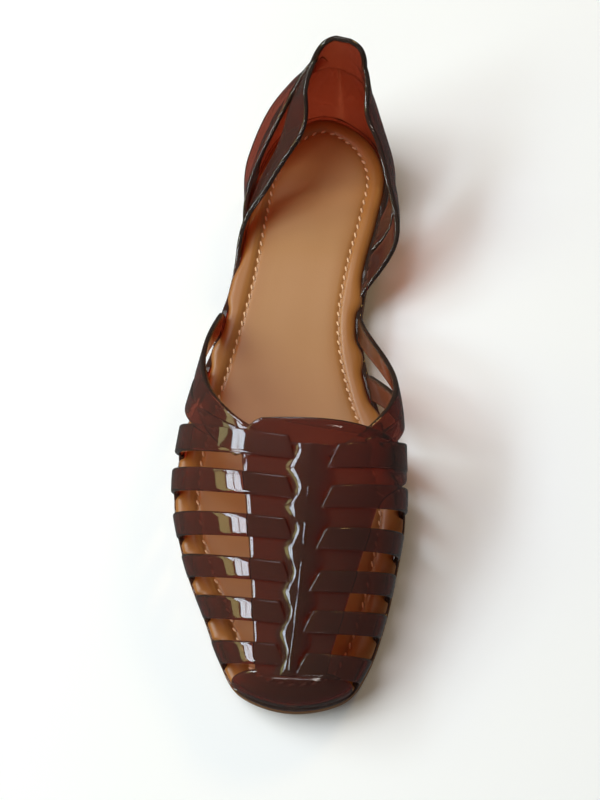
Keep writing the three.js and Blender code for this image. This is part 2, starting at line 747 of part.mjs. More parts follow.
const sandal = new THREE.Group();
sandal.add(piece("upper", upper(), PVC));
sandal.add(piece("insole", insole(), COVER));
sandal.add(piece("outsole", outsole(), RUBBER));
sandal.add(piece("heel", heelBlock(), RUBBER));

// The sandal stands on the floor with its box centred on the origin.
const box = new THREE.Box3().setFromObject(sandal);
const middle = box.getCenter(new THREE.Vector3());
sandal.position.set(-middle.x, -middle.y, -box.min.z);

export default sandal;
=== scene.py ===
"""The looks of a moulded PVC huarache sandal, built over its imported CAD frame.

The upper, insole, outsole and heel are made anew from the same last as the CAD part, with
rounded edges, a rolled insole border, stitches and a fine tread. Lengths inside the last are
millimetres from the toe tip; meshes and properties are metres in the frame's own place.
"""

import math
from collections import namedtuple

import bmesh
import bpy
import numpy as np
from mathutils import Matrix, Vector


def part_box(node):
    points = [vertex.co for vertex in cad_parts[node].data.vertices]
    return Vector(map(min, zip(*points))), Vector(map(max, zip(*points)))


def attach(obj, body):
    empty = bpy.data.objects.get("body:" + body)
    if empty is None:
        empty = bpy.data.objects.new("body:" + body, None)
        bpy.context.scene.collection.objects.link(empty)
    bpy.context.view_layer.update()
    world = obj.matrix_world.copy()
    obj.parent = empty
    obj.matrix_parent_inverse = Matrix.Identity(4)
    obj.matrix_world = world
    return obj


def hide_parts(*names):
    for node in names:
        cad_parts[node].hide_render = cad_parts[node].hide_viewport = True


bl_info = {
    "name": "Huarache sandal looks",
    "version": (1, 0, 0),
    "blender": (4, 5, 0),
    "location": "View3D > Sidebar > Sandal",
    "description": "Builds the smooth upper, insole, sole and stage of a PVC huarache sandal",
    "category": "Object",
}

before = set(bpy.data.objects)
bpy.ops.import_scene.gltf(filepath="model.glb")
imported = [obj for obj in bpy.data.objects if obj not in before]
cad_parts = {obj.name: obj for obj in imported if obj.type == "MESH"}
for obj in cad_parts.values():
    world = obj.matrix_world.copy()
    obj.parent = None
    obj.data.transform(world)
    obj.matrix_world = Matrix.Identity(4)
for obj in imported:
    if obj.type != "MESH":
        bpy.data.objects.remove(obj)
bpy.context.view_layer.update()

MM = 0.001
LATERAL, MEDIAL = -1, 1
QUARTER = math.pi / 2

# Angles through a rounded edge.
ROUND = np.linspace(0, QUARTER, 5)

# Ribbons, in edge radii: rounding of the inner edges, least width and the stretch before a
# blunt end that its own rows take; and the most of the wall that an end's rounding takes.
INNER_EDGE = 0.6
LEAST_WIDTH = 2.2
BLUNT_STRETCH = 1.5
END_SHARE = 0.45

# How much closer a ribbon's rows lie towards its end.
END_DENSITY = 1.4

# Half the stretch of a curve over which its slope is read.
SLOPE_STEP = 0.025

# Stations round the rand and the insole, the same so that the border follows the rand.
RIM_STATIONS = 320

# The insole's outline: offsets from the toe-to-heel line as shares of the ball width.
OUTLINE = {
    "along": (0.02, 0.06, 0.12, 0.2, 0.3, 0.4, 0.5, 0.6, 0.7, 0.8, 0.89, 0.96),
    "lateral": (0.21, 0.293, 0.376, 0.488, 0.572, 0.566, 0.51, 0.446, 0.398, 0.371, 0.335, 0.243),
    "medial": (0.215, 0.29, 0.345, 0.39, 0.42, 0.361, 0.245, 0.18, 0.2, 0.253, 0.277, 0.18),
}
HEEL_CENTRE = -0.04

# The foot's crest line: height and offset inwards, as shares of the instep and ball width.
CREST = {
    "along": (0, 0.05, 0.1, 0.2, 0.3, 0.37, 0.45, 0.55, 0.65, 1),
    "height": (0.27, 0.34, 0.45, 0.68, 0.89, 1, 1.13, 1.3, 1.4, 1.4),
    "offset": (0, 0.004, 0.014, 0.034, 0.046, 0.05, 0.03, -0.04, -0.08, -0.08),
}

# The sole's underside: shares of the toe spring and of the heel block's height.
UNDERSIDE = {
    "along": (0, 0.06, 0.12, 0.2, 0.42, 0.52, 0.64, 0.74, 1),
    "toe": (1, 0.56, 0.22, 0, 0, 0, 0, 0, 0),
    "heel": (0, 0, 0, 0, 0, 0.24, 0.76, 1, 1),
}

# The cross strips: middle and width at the rand and at the crest, as shares of the length.
STRIPS = {
    "rand": (0.398, 0.33, 0.26, 0.199, 0.138, 0.07),
    "rand_width": (0.047, 0.037, 0.037, 0.035, 0.035, 0.034),
    "crest": (0.325, 0.273, 0.22, 0.164, 0.111, 0.056),
    "crest_width": (0.031, 0.029, 0.028, 0.027, 0.03, 0.028),
}

# The collar branches that fan back from the throat: place and width along the length, and
# how far up the arch they lie.
BRANCHES = (
    {
        "along": (0.604, 0.53, 0.455, 0.398, 0.355, 0.325),
        "width": (0.034, 0.034, 0.034, 0.034, 0.032, 0.026),
        "rise": (0, 0.27, 0.53, 0.72, 0.86, 0.95),
    },
    {
        "along": (0.505, 0.462, 0.415, 0.38, 0.35),
        "width": (0.038, 0.036, 0.032, 0.028, 0.024),
        "rise": (0, 0.25, 0.5, 0.7, 0.87),
    },
)

# The heel's strips: arc round the back as a share of the heel block's length; rise, half
# width and the outer strips' pull in over the insole, as shares of the heel wall's height;
# and the turn of their faces upwards.
HEEL_STRIPS = (
    {
        "arc": (1.34, 1.14, 0.93, 0.69, 0.42, 0.15),
        "rise": (-0.02, 0.06, 0.19, 0.38, 0.6, 0.79),
        "half": (0.03, 0.075, 0.08, 0.075, 0.07, 0.065),
        "pull": (0, 0.02, 0.085, 0.13, 0.045, 0),
        "twist": (0, 0.15, 0.4, 0.4, 0.25, 0),
    },
    {
        "arc": (1.04, 0.86, 0.67, 0.47, 0.28, 0.1),
        "rise": (-0.02, 0.08, 0.22, 0.4, 0.59, 0.74),
        "half": (0.04, 0.075, 0.07, 0.065, 0.06, 0.06),
        "pull": (0, -0.015, -0.03, -0.045, -0.035, -0.01),
        "twist": (0, 0.2, 0.45, 0.45, 0.3, 0),
    },
)

# The counter panel with the tab: its front edge, as shares of the same two sizes.
COUNTER_EDGE = {
    "rise": (-0.05, 0.1, 0.25, 0.42, 0.6, 0.78, 0.88, 0.95, 0.985, 1),
    "arc": (0.76, 0.62, 0.45, 0.31, 0.22, 0.2, 0.192, 0.16, 0.115, 0.06),
}

# The insole's top across its border: millimetres in from the edge and above its flat top.
INSOLE_SECTION = {
    "inset": (0, 0.35, 1, 2.2, 3.6, 5.2, 6.1, 6.8, 7.5, 9, 12),
    "height": (-1.1, -0.35, 0.25, 0.75, 0.9, 0.55, 0.02, -0.4, -0.02, 0.22, 0.26),
}

Surface = namedtuple("Surface", "at steps")
Solid = namedtuple("Solid", "points faces")


def linear(code):
    """A colour from its sRGB hex code, as linear red, green, blue and alpha."""
    parts = [int(code[i : i + 2], 16) / 255 for i in (1, 3, 5)]
    bent = [p / 12.92 if p <= 0.04045 else ((p + 0.055) / 1.055) ** 2.4 for p in parts]
    return (*bent, 1.0)


def size(name, default, about):
    """A length property in metres."""
    return bpy.props.FloatProperty(
        name=name, description=about, default=default, unit="LENGTH", precision=5
    )


def share(name, default, about):
    """A plain number property."""
    return bpy.props.FloatProperty(name=name, description=about, default=default, precision=4)


def colour(name, code, about):
    """A colour property from an sRGB hex code."""
    return bpy.props.FloatVectorProperty(
        name=name, description=about, default=linear(code), size=4, subtype="COLOR"
    )


class SandalSizes(bpy.types.PropertyGroup):
    """Driving sizes of the last and the sole, as in the CAD part."""

    insole_length: size("Insole length", 0.245, "Toe tip to heel of the insole")
    ball_width: size("Ball width", 0.083, "Unit of the outline's widths")
    instep_height: size("Instep height", 0.047, "Crest above the insole at the throat")
    heel_wall_height: size("Heel wall height", 0.056, "Tab's top above the insole")
    heel_block_height: size("Heel block height", 0.007, "Lift of the rear of the sole")
    heel_block_length: size("Heel block length", 0.064, "Heel block from breast to back")
    toe_spring: size("Toe spring", 0.005, "Lift of the toe tip above the floor")
    outsole_thickness: size("Outsole thickness", 0.0042, "Outsole plate")
    insole_thickness: size("Insole thickness", 0.0026, "Insole plate")
    clearance: size("Clearance", 0.0003, "Gap between pieces that meet")


class UpperSizes(bpy.types.PropertyGroup):
    """Sizes of the moulded upper."""

    wall: size("Wall", 0.0019, "Thickness of the moulded strips")
    rand_wall: size("Rand wall", 0.0021, "Thickness of the rand")
    strip_rise: size("Strip rise", 0.0015, "Lift of the strips over the middle band")
    rib_rise: size("Rib rise", 0.0024, "Height of the centre rib over the band")
    edge_radius: size("Edge radius", 0.0008, "Rounding of the strips' edges")
    band_toe_half_width: size("Band half width", 0.0115, "Half the middle band at the toe")
    tongue_half_width: size("Tongue half width", 0.026, "Half the middle band at the tongue")
    tongue_length: size("Tongue length", 0.01, "Tongue behind the throat")
    tongue_lift: size("Tongue lift", 0.003, "Flare of the tongue's end")
    tongue_corner: size("Tongue corner", 0.009, "Radius of the tongue's corners")
    rib_share: share("Rib share", 0.27, "Rib's half width as a share of the band's")
    rib_swell: size("Rib swell", 0.0026, "How far the rib swells between strips")
    tab_rim: size("Tab rim", 0.0011, "Radius of the bead along the tab's edge")


class StitchSizes(bpy.types.PropertyGroup):
    """Sizes of the insole's stitching."""

    inset: size("Inset", 0.0068, "Stitch line in from the insole's edge")
    pitch: size("Pitch", 0.004, "One stitch to the next")
    length: size("Length", 0.0025, "Shown length of a stitch")
    thread: size("Thread", 0.00095, "Width of the thread")
    slant: bpy.props.FloatProperty(
        name="Slant",
        description="Turn of each stitch against the line",
        default=math.radians(24),
        subtype="ANGLE",
    )


class TreadSizes(bpy.types.PropertyGroup):
    """Sizes of the outsole's tread bars."""

    pitch: size("Pitch", 0.0036, "One bar to the next")
    bar: size("Bar", 0.0012, "Width and height of a bar")
    wave: size("Wave", 0.0011, "Swing of a bar to either side")
    wave_length: size("Wave length", 0.011, "Length of one wave")


class SandalColours(bpy.types.PropertyGroup):
    """Colours of the finishes."""

    pvc: colour("PVC", "#C49A84", "Tint and haze of the soft PVC's faces")
    pvc_depth: colour("PVC depth", "#DC8A3A", "Colour that the PVC absorbs least")
    pvc_density: share("PVC density", 1550.0, "Absorption per metre in the PVC")
    cover: colour("Cover", "#AE7C4C", "Insole cover")
    cover_edge: colour("Cover edge", "#9A5F26", "Insole cover at its border")
    thread: colour("Thread", "#E0B48C", "Insole stitching")
    rubber: colour("Rubber", "#7A5226", "Outsole and heel")
    floor: colour("Floor", "#FAFAFA", "Studio floor")


def mm(value):
    """Metres as millimetres."""
    return value / MM


def curve_through(table, key, name):
    """A smooth curve through one column of a table, read at a value of its key column."""
    keys = np.array(table[key], float)
    values = np.array(table[name], float)
    flip = keys[0] > keys[-1]
    if flip:
        keys, values = keys[::-1], values[::-1]
    steps = np.diff(keys)
    chords = np.diff(values) / steps
    product = chords[:-1] * chords[1:]
    total = np.where(product > 0, chords[:-1] + chords[1:], 1)
    inside = np.where(product > 0, 2 * product / total, 0)
    slopes = np.concatenate([chords[:1], inside, chords[-1:]])

    def read(at):
        k = np.clip(at, keys[0], keys[-1])
        i = np.clip(np.searchsorted(keys, k) - 1, 0, len(steps) - 1)
        t = (k - keys[i]) / steps[i]
        start = values[i] * (1 + 2 * t) * (1 - t) ** 2
        end = values[i + 1] * t * t * (3 - 2 * t)
        lift = steps[i] * t * (1 - t) * (slopes[i] * (1 - t) - slopes[i + 1] * t)
        return start + end + lift

    return read


def by_step(table):
    """A table with a column that counts its rows from 0 to 1."""
    rows = len(next(iter(table.values())))
    return {**table, "step": tuple(i / (rows - 1) for i in range(rows))}


def smoothstep(value, low, high):
    """A soft step from 0 to 1 between two values."""
    t = np.clip((value - low) / (high - low), 0, 1)
    return t * t * (3 - 2 * t)


def lerp(a, b, t):
    """A value between two."""
    return a + (b - a) * t


class Last:
    """The surfaces that the shoe is built on, in millimetres from the toe tip."""

    SAMPLES = 2880
    NOSE_DEPTH = 13
    SHOULDER = 0.88
    COLLAR_BOW = 10
    COLLAR_PLACE = 0.5
    COLLAR_SPREAD = 0.13
    FLANK = {LATERAL: 1.2, MEDIAL: 2.4}
    FLANK_END = 0.42
    FLANK_FADE = 0.12
    HEEL_TURN = 3
    BACK_LEAN = 5.5
    SIDE_LEAN = 27
    LEAN_START = 0.12
    LEAN_END = 0.6
    LEAN_POWER = 1.75
    TAB_DRIFT = 7
    DRIFT_POWER = 1.4
    BULGE = {LATERAL: 2, MEDIAL: 12}
    BULGE_PLACE = 1.22
    BULGE_SPREAD = 0.42
    BULGE_GATHER = 0.25
    HEEL_HOLLOW = 1.5
    HOLLOW_TOP = 0.625
    HOLLOW_SPREAD = 0.5

    def __init__(self, sizes):
        self.length = mm(sizes.insole_length)
        self.ball = mm(sizes.ball_width)
        self.instep = mm(sizes.instep_height)
        self.heel_wall = mm(sizes.heel_wall_height)
        self.block_height = mm(sizes.heel_block_height)
        self.block_length = mm(sizes.heel_block_length)
        self.spring = mm(sizes.toe_spring)
        self.outsole = mm(sizes.outsole_thickness)
        self.insole = mm(sizes.insole_thickness)
        self.gap = mm(sizes.clearance)
        self.rand_inset = self.gap + 0.25
        self.skirt = self.insole * 0.3
        self.outline = self.draw_outline()
        self.heel_index = int(np.argmax(self.outline[:, 1]))
        behind = np.roll(self.outline, 1, axis=0)
        ahead = np.roll(self.outline, -1, axis=0)
        tangent = ahead - behind
        tangent /= np.linalg.norm(tangent, axis=1, keepdims=True)
        self.outward = np.stack([tangent[:, 1], -tangent[:, 0]], axis=1)
        steps = np.linalg.norm(ahead - self.outline, axis=1)
        self.arcs = np.concatenate([[0], np.cumsum(steps)])
        self.sides = {
            MEDIAL: np.arange(0, self.heel_index + 1),
            LATERAL: np.arange(self.SAMPLES, self.heel_index - 1, -1),
        }
        self.toe_share = curve_through(UNDERSIDE, "along", "toe")
        self.heel_share = curve_through(UNDERSIDE, "along", "heel")
        self.crest_share = curve_through(CREST, "along", "height")
        self.crest_offset = curve_through(CREST, "along", "offset")
        self.vamp = Surface(self.vamp_point, (0.004, 0.3))
        self.heel = Surface(self.heel_point, (0.3, 0.3))

    def draw_outline(self):
        """The insole's outline as a closed centripetal curve through its table."""
        along, lateral, medial = (np.array(OUTLINE[k]) for k in ("along", "lateral", "medial"))
        inner = np.stack([medial * self.ball, along * self.length], axis=1)
        outer = np.stack([-lateral * self.ball, along * self.length], axis=1)[::-1]
        heel = [[HEEL_CENTRE * self.ball, self.length]]
        knots = np.concatenate([[[0, 0]], inner, heel, outer])
        place = np.arange(self.SAMPLES) * len(knots) / self.SAMPLES
        i = place.astype(int)
        t = (place - i)[:, None]
        p0, p1, p2, p3 = (knots[(i + k) % len(knots)] for k in (-1, 0, 1, 2))
        d0, d1, d2 = (
            np.linalg.norm(b - a, axis=1, keepdims=True) ** 0.5
            for a, b in ((p0, p1), (p1, p2), (p2, p3))
        )
        start = ((p1 - p0) / d0 - (p2 - p0) / (d0 + d1) + (p2 - p1) / d1) * d1
        end = ((p2 - p1) / d1 - (p3 - p1) / (d1 + d2) + (p3 - p2) / d2) * d1
        square, cube = t * t, t * t * t
        ahead = (2 * cube - 3 * square + 1) * p1 + (3 * square - 2 * cube) * p2
        return ahead + (cube - 2 * square + t) * start + (cube - square) * end

    def outline_at(self, index, offset=0):
        """Points of the outline at fractional indices, moved outwards by an offset."""
        low = np.floor(index).astype(int)
        t = (index - low)[..., None]
        a, b = low % self.SAMPLES, (low + 1) % self.SAMPLES
        point = lerp(self.outline[a], self.outline[b], t)
        outward = lerp(self.outward[a], self.outward[b], t)
        return point + outward * np.asarray(offset)[..., None]

    def index_along(self, y, side):
        """The index on one side of the outline at a distance along the foot."""
        indices = self.sides[side]
        heights = np.maximum.accumulate(self.outline[indices % self.SAMPLES, 1])
        return np.interp(y, heights, indices.astype(float))

    def index_at_arc(self, arc):
        """The index at a distance round the outline from the middle of the heel."""
        total = self.arcs[-1]
        target = (self.arcs[self.heel_index] - arc) % total
        return np.interp(target, self.arcs, np.arange(self.SAMPLES + 1))

    def underside(self, y):
        """The sole's underside above the floor."""
        at = y / self.length
        return self.toe_share(at) * self.spring + self.heel_share(at) * self.block_height

    def outsole_top(self, y):
        """The outsole's top above the floor."""
        return self.underside(y) + self.outsole

    def insole_top(self, y):
        """The insole's flat top above the floor."""
        return self.outsole_top(y) + self.gap + self.insole

    def arch_base(self, y):
        """Where the upper's arch starts."""
        return self.insole_top(y) + self.gap

    def nose_share(self, y):
        """How much of the crest's height is reached at a distance from the toe."""
        t = np.clip(y / self.NOSE_DEPTH, 0, 1)
        return np.sqrt(np.maximum(1 - (1 - t) ** 2, 0))

    def crest_height(self, y):
        """The arch's height above its base, rounded down over the nose."""
        return self.crest_share(y / self.length) * self.instep * self.nose_share(y)

    def crest_x(self, y):
        """The crest line's place across the foot."""
        return self.crest_offset(y / self.length) * self.ball

    def half_span(self, y, side):
        """The distance across from the crest to the rand on one side."""
        index = self.index_along(np.maximum(y, 0.02), side)
        return np.abs(self.outline_at(index, self.rand_inset)[..., 0] - self.crest_x(y))

    def vamp_point(self, arch, y):
        """The vamp's inner face: arch is 0 at the crest and 1 or -1 at the rand."""
        arch, y = np.broadcast_arrays(np.asarray(arch, float), np.asarray(y, float))
        outer = arch < 0
        side = np.where(outer, LATERAL, MEDIAL)
        reach = np.abs(arch)
        angle = (1 - np.minimum(reach, 1)) * QUARTER
        half = np.where(outer, self.half_span(y, LATERAL), self.half_span(y, MEDIAL))
        along = y / self.length
        collar = np.exp(-(((along - self.COLLAR_PLACE) / self.COLLAR_SPREAD) ** 2))
        bow = np.where(outer, 0, self.COLLAR_BOW * collar)
        ahead = 1 - smoothstep(along, self.FLANK_END, self.FLANK_END + self.FLANK_FADE)
        flank = np.where(outer, self.FLANK[LATERAL], self.FLANK[MEDIAL]) * ahead
        flank = flank * self.nose_share(y) * np.cos(angle) ** 2
        swell = (bow + flank) * np.sin(2 * angle)
        x = self.crest_x(y) + side * (half * np.cos(angle).clip(0) ** self.SHOULDER + swell)
        drop = np.maximum(reach - 1, 0) * self.crest_height(y)
        z = self.arch_base(y) + self.crest_height(y) * np.sin(angle) - drop
        return np.stack([x, y, z], axis=-1)

    def heel_point(self, rise, arc, inward=0.0):
        """The rear wall's inner face, from a rise and an arc round the heel."""
        rise, arc = np.broadcast_arrays(np.asarray(rise, float), np.asarray(arc, float))
        part = np.clip(rise / self.heel_wall, 0, 1.1)
        far = np.abs(arc) / self.block_length
        gather = np.sin(np.minimum(part / self.BULGE_GATHER, 1) * QUARTER)
        bow = np.exp(-(((far - self.BULGE_PLACE) / self.BULGE_SPREAD) ** 2)) * gather
        bulge = np.where(arc < 0, self.BULGE[LATERAL], self.BULGE[MEDIAL]) * bow
        middle = np.exp(-((far / self.HOLLOW_SPREAD) ** 2))
        hollow = self.HEEL_HOLLOW * np.sin(math.pi * np.minimum(part / self.HOLLOW_TOP, 1))
        turned = smoothstep(far, self.LEAN_START, self.LEAN_END)
        leaning = lerp(self.BACK_LEAN, self.SIDE_LEAN, turned) * part**self.LEAN_POWER
        offset = self.rand_inset + bulge + hollow * middle - leaning - inward
        flat = self.outline_at(self.index_at_arc(arc + self.HEEL_TURN), offset)
        x = flat[..., 0] + self.TAB_DRIFT * part**self.DRIFT_POWER
        return np.stack([x, flat[..., 1], self.arch_base(flat[..., 1]) + rise], axis=-1)

    def arch_at_rise(self, rise):
        """The arch coordinate at a share of the crest's height."""
        return 1 - np.arcsin(np.clip(rise, 0, 1)) / QUARTER

    def arch_at_width(self, y, side, width):
        """The arch coordinate at a distance across from the crest."""
        part = np.minimum(width / self.half_span(y, side), 1)
        return 1 - np.arccos(part ** (1 / self.SHOULDER)) / QUARTER

    def skirt_reach(self, y):
        """The arch coordinate a little below the rand's top edge."""
        return 1 + self.skirt / np.maximum(self.crest_height(y), self.skirt)

    def stations(self, count):
        """Outline indices from the toe along the inner side to the heel and back."""
        levels = self.length * (1 - np.cos(math.pi * np.arange(1, count) / count)) / 2
        inner = self.index_along(levels, MEDIAL)
        outer = self.index_along(levels, LATERAL)[::-1]
        toe, heel = [float(self.SAMPLES)], [float(self.heel_index)]
        return np.concatenate([toe, inner, heel, outer]), levels


def normal_of(surface, across, along):
    """A surface's outward normal at its two coordinates."""
    da, db = surface.steps
    sideways = surface.at(across + da, along) - surface.at(across - da, along)
    lengthways = surface.at(across, along + db) - surface.at(across, along - db)
    normal = np.cross(sideways, lengthways)
    return normal / np.linalg.norm(normal, axis=-1, keepdims=True)


def lofted(rings, closed=False):
    """A solid through rings of points, capped at both ends or closed on itself."""
    count, around = rings.shape[:2]
    faces = []
    for r in range(count if closed else count - 1):
        here, there = r * around, (r + 1) % count * around
        for i in range(around):
            j = (i + 1) % around
            faces.append((here + i, here + j, there + j, there + i))
    if not closed:
        faces.append(tuple(range(around))[::-1])
        faces.append(tuple((count - 1) * around + i for i in range(around)))
    return outward(Solid(rings.reshape(-1, 3), faces))


def outward(solid):
    """The same solid with its faces turned outwards."""
    volume = 0.0
    for face in solid.faces:
        corners = solid.points[list(face)]
        fan = np.cross(corners[1:-1], corners[2:])
        volume += float((fan @ corners[0]).sum())
    if volume >= 0:
        return solid
    return Solid(solid.points, [face[::-1] for face in solid.faces])


def denser_end(u):
    """Rows that lie closer together towards the end at 1."""
    return 1 - (1 - u) ** END_DENSITY


def slope(curve, u):
    """A curve's rise over a short stretch round a place."""
    return curve(np.minimum(u + SLOPE_STEP, 1)) - curve(np.maximum(u - SLOPE_STEP, 0))


def ribbon(surface, place, rows, span, edge, flats=5, blunt=False, spread=None):
    """A closed strip over a surface with rounded edges: place(u, v) says where it lies, and
    span(u, v) gives the distances of its inner and outer face from the surface."""
    u = np.linspace(0, 1, rows + 1)
    if spread is not None:
        u = spread(u)
    ends = np.zeros_like(u)
    if blunt:
        middle = surface.at(*place(u, np.full_like(u, 0.5)))
        length = np.linalg.norm(np.diff(middle, axis=0), axis=1).sum()
        u = u[u < 1 - edge / length * BLUNT_STRETCH]
        u = np.concatenate([u, 1 - edge / length * (1 - np.sin(ROUND))])
        ends = np.zeros_like(u)
        ends[-len(ROUND) :] = edge * (1 - np.cos(ROUND))
    base, inset, face, drop = [], [], [], []

    def corner(at_side, at_face, radius, backwards):
        angles = ROUND[::-1] if backwards else ROUND
        base.extend([at_side] * len(ROUND))
        face.extend([at_face] * len(ROUND))
        inset.extend(radius * (1 - np.cos(angles)))
        drop.extend(radius * (1 - np.sin(angles)))

    def flat(at_face, backwards):
        shares = np.arange(1, flats) / flats
        base.extend(shares[::-1] if backwards else shares)
        face.extend([at_face] * (flats - 1))
        inset.extend([0.0] * (flats - 1))
        drop.extend([0.0] * (flats - 1))

    inner = edge * INNER_EDGE
    corner(0.0, 0.0, inner, False)
    flat(0.0, False)
    corner(1.0, 0.0, inner, True)
    corner(1.0, 1.0, edge, False)
    flat(1.0, True)
    corner(0.0, 1.0, edge, True)
    base, inset, face, drop = (np.array(part)[None, :] for part in (base, inset, face, drop))
    u, ends = u[:, None], ends[:, None]
    sides = [surface.at(*place(u, np.full_like(u, v))) for v in (0.0, 1.0)]
    width = np.maximum(np.linalg.norm(sides[1] - sides[0], axis=-1), LEAST_WIDTH * edge)
    v = base + np.where(base < 0.5, 1, -1) * inset / width
    low, high = span(u, v)
    wall = high - low
    ends = np.minimum(ends, wall * END_SHARE)
    height = np.where(face > 0.5, high - drop - ends, low + drop + ends)
    across, along = np.broadcast_arrays(*place(u, v))
    points = surface.at(across, along)
    points = points + normal_of(surface, across, along) * height[..., None]
    return lofted(points)


class Upper:
    """The moulded upper's members as closed solids over the last."""

    # The inner side: strips further forward, and heel strips that reach further.
    MEDIAL_RAND_SHIFT = 4
    MEDIAL_CREST_SHIFT = 2.5
    MEDIAL_REACH = 1.1
    MEDIAL_TWIST = 0.3

    TOE_CAP_DEPTH = 9
    TOE_CAP_FLANK = 4
    TOE_CAP_TIP = 0.06
    TOE_CAP_OVERLAP = 2

    # The strips' ends at the rib, and where they and the branches climb onto the band.
    END_SLANT = 3
    END_LAP = 1.6
    STRIP_PROUD = 0.1
    STRIP_CLIMB = (0.1, 0.7)
    BRANCH_CLIMB = (0.6, 1)

    BAND_OVERLAP = 2
    TONGUE_EXTRA = 5
    TONGUE_RUN = 14

    RIB_OVERLAP = 1
    RIB_PAST_THROAT = 2
    RIB_EDGE = 0.3
    RIB_FOOT = 0.5
    SEAM_RISE = 0.18
    SEAM_SPREAD = 0.02

    CREASE_DEPTH = 0.45
    CREASE_PLACE = 0.54
    CREASE_SPREAD = 0.02
    CREASE_TOP = (0.75, 0.6)
    RIM_DEPTH = 0.75
    RIM_DENSITY = 1.5

    # Where the rand's standing part fades out: from the toe, round the foremost heel strip,
    # and beside the feet of the strips and branches. A branch's foot is a share of its width.
    TOE_HELD = (3, 6)
    REAR_HELD = (-5, 6)
    STRIP_FADE = 1.2
    BRANCH_FOOT = 0.45
    BRANCH_FADE = 8

    RAND_RADIUS = 0.8
    RAND_TOP = 0.2
    RAND_LOW = 0.6
    RAND_LOW_ROUND = 0.3
    SOLE_LEDGE = 0.2

    def __init__(self, last, sizes):
        self.last = last
        self.wall = mm(sizes.wall)
        self.rand_wall = mm(sizes.rand_wall)
        self.rise = mm(sizes.strip_rise)
        self.rib_rise = mm(sizes.rib_rise)
        self.edge = mm(sizes.edge_radius)
        self.band_toe = mm(sizes.band_toe_half_width)
        self.tongue_half = mm(sizes.tongue_half_width)
        self.tongue_lift = mm(sizes.tongue_lift)
        self.tongue_corner = mm(sizes.tongue_corner)
        self.rib_share = sizes.rib_share
        self.rib_swell = mm(sizes.rib_swell)
        self.rim = mm(sizes.tab_rim)
        self.throat = STRIPS["crest"][0] * last.length
        self.tongue_length = mm(sizes.tongue_length)
        self.tongue_end = self.throat + self.tongue_length

    def sole_edge(self):
        """How far the sole's edge lies outside the insole's outline."""
        return self.last.gap + self.rand_wall + self.SOLE_LEDGE

    def plain(self, u, v):
        """The two faces of a strip that lies on the last."""
        return 0 * u + 0 * v, self.wall + 0 * u + 0 * v

    def band_half(self, y):
        """Half the middle band's width, tapering from the tongue to the toe."""
        t = (y - self.TOE_CAP_DEPTH) / (self.tongue_end - self.TOE_CAP_DEPTH)
        return lerp(self.band_toe, self.tongue_half, t)

    def across_crest(self, y, part, half):
        """The arch coordinate at a share from -1 to 1 of a half width."""
        reach = np.where(
            part < 0,
            self.last.arch_at_width(y, LATERAL, half * np.abs(part)),
            self.last.arch_at_width(y, MEDIAL, half * np.abs(part)),
        )
        return np.where(part < 0, -reach, reach)

    def cross_strip(self, row, side):
        """One cross strip, from below the rand's top edge to the rib."""
        last = self.last
        inward = 1 if side == MEDIAL else 0
        rand_y = STRIPS["rand"][row] * last.length - inward * self.MEDIAL_RAND_SHIFT
        crest_y = STRIPS["crest"][row] * last.length - inward * self.MEDIAL_CREST_SHIFT
        start = last.skirt_reach(rand_y)
        rib = self.band_half(crest_y) * self.rib_share - self.END_LAP

        def place(u, v):
            end = last.arch_at_width(crest_y, side, rib + self.END_SLANT * v)
            reach = lerp(start, end, u)
            climb = np.clip(1 - reach, 0, 1)
            part = 0.5 * (climb + np.sin(climb * QUARTER))
            middle = lerp(rand_y, crest_y, part)
            widths = lerp(STRIPS["rand_width"][row], STRIPS["crest_width"][row], climb)
            return side * reach, middle + (v - 0.5) * widths * last.length

        def span(u, v):
            lift = self.rise * smoothstep(u, *self.STRIP_CLIMB) + self.STRIP_PROUD
            return lift - self.STRIP_PROUD + 0 * v, lift + self.wall + 0 * v

        return ribbon(last.vamp, place, 44, span, self.edge, blunt=True)

    def collar_branch(self, table, side):
        """One branch of the collar that fans back from the throat."""
        last = self.last
        keyed = by_step(table)
        along, width, rise = (curve_through(keyed, "step", k) for k in ("along", "width", "rise"))
        shift = self.MEDIAL_CREST_SHIFT if side == MEDIAL else 0
        foot = last.skirt_reach(table["along"][0] * last.length)

        def place(u, v):
            y = along(u) * last.length - shift * u
            half = (v - 0.5) * width(u) * last.length
            height = last.crest_height(y)
            run = slope(along, u) * last.length
            climb = slope(rise, u) * height
            way = np.hypot(run, climb)
            level = np.maximum(rise(u) * height - run / way * half, 0)
            y = y + climb / way * half
            reach = last.arch_at_rise(np.minimum(level / last.crest_height(y), 0.999))
            reach = np.where(u <= 0, foot, reach)
            return side * reach, y

        def span(u, v):
            lift = self.rise * smoothstep(u, *self.BRANCH_CLIMB)
            return lift + 0 * v, lift + self.wall + 0 * v

        return ribbon(last.vamp, place, 60, span, self.edge)

    def middle_band(self):
        """The middle band under the strips, from the toe to the flared tongue."""
        start = self.TOE_CAP_DEPTH - self.BAND_OVERLAP

        def flared(arch, y):
            point = self.last.vamp_point(arch, y)
            lift = np.clip((y - self.throat) / self.tongue_length, 0, 1) ** 2
            point[..., 2] += self.tongue_lift * lift
            return point

        def place(u, v):
            y = lerp(start, self.tongue_end, u)
            into = np.clip(1 - (self.tongue_end - y) / self.tongue_corner, 0, 0.995)
            pull = self.tongue_corner * (1 - np.sqrt(1 - into**2))
            part = np.clip(2 * v - 1, -1, 1)
            grown = smoothstep(y, self.throat - self.TONGUE_RUN, self.throat)
            extra = self.TONGUE_EXTRA * grown * (part > 0)
            return self.across_crest(y, part, self.band_half(y) + extra - pull), y + 0 * v

        surface = Surface(flared, self.last.vamp.steps)
        return ribbon(
            surface, place, 90, self.plain, self.edge, flats=18, blunt=True, spread=denser_end
        )

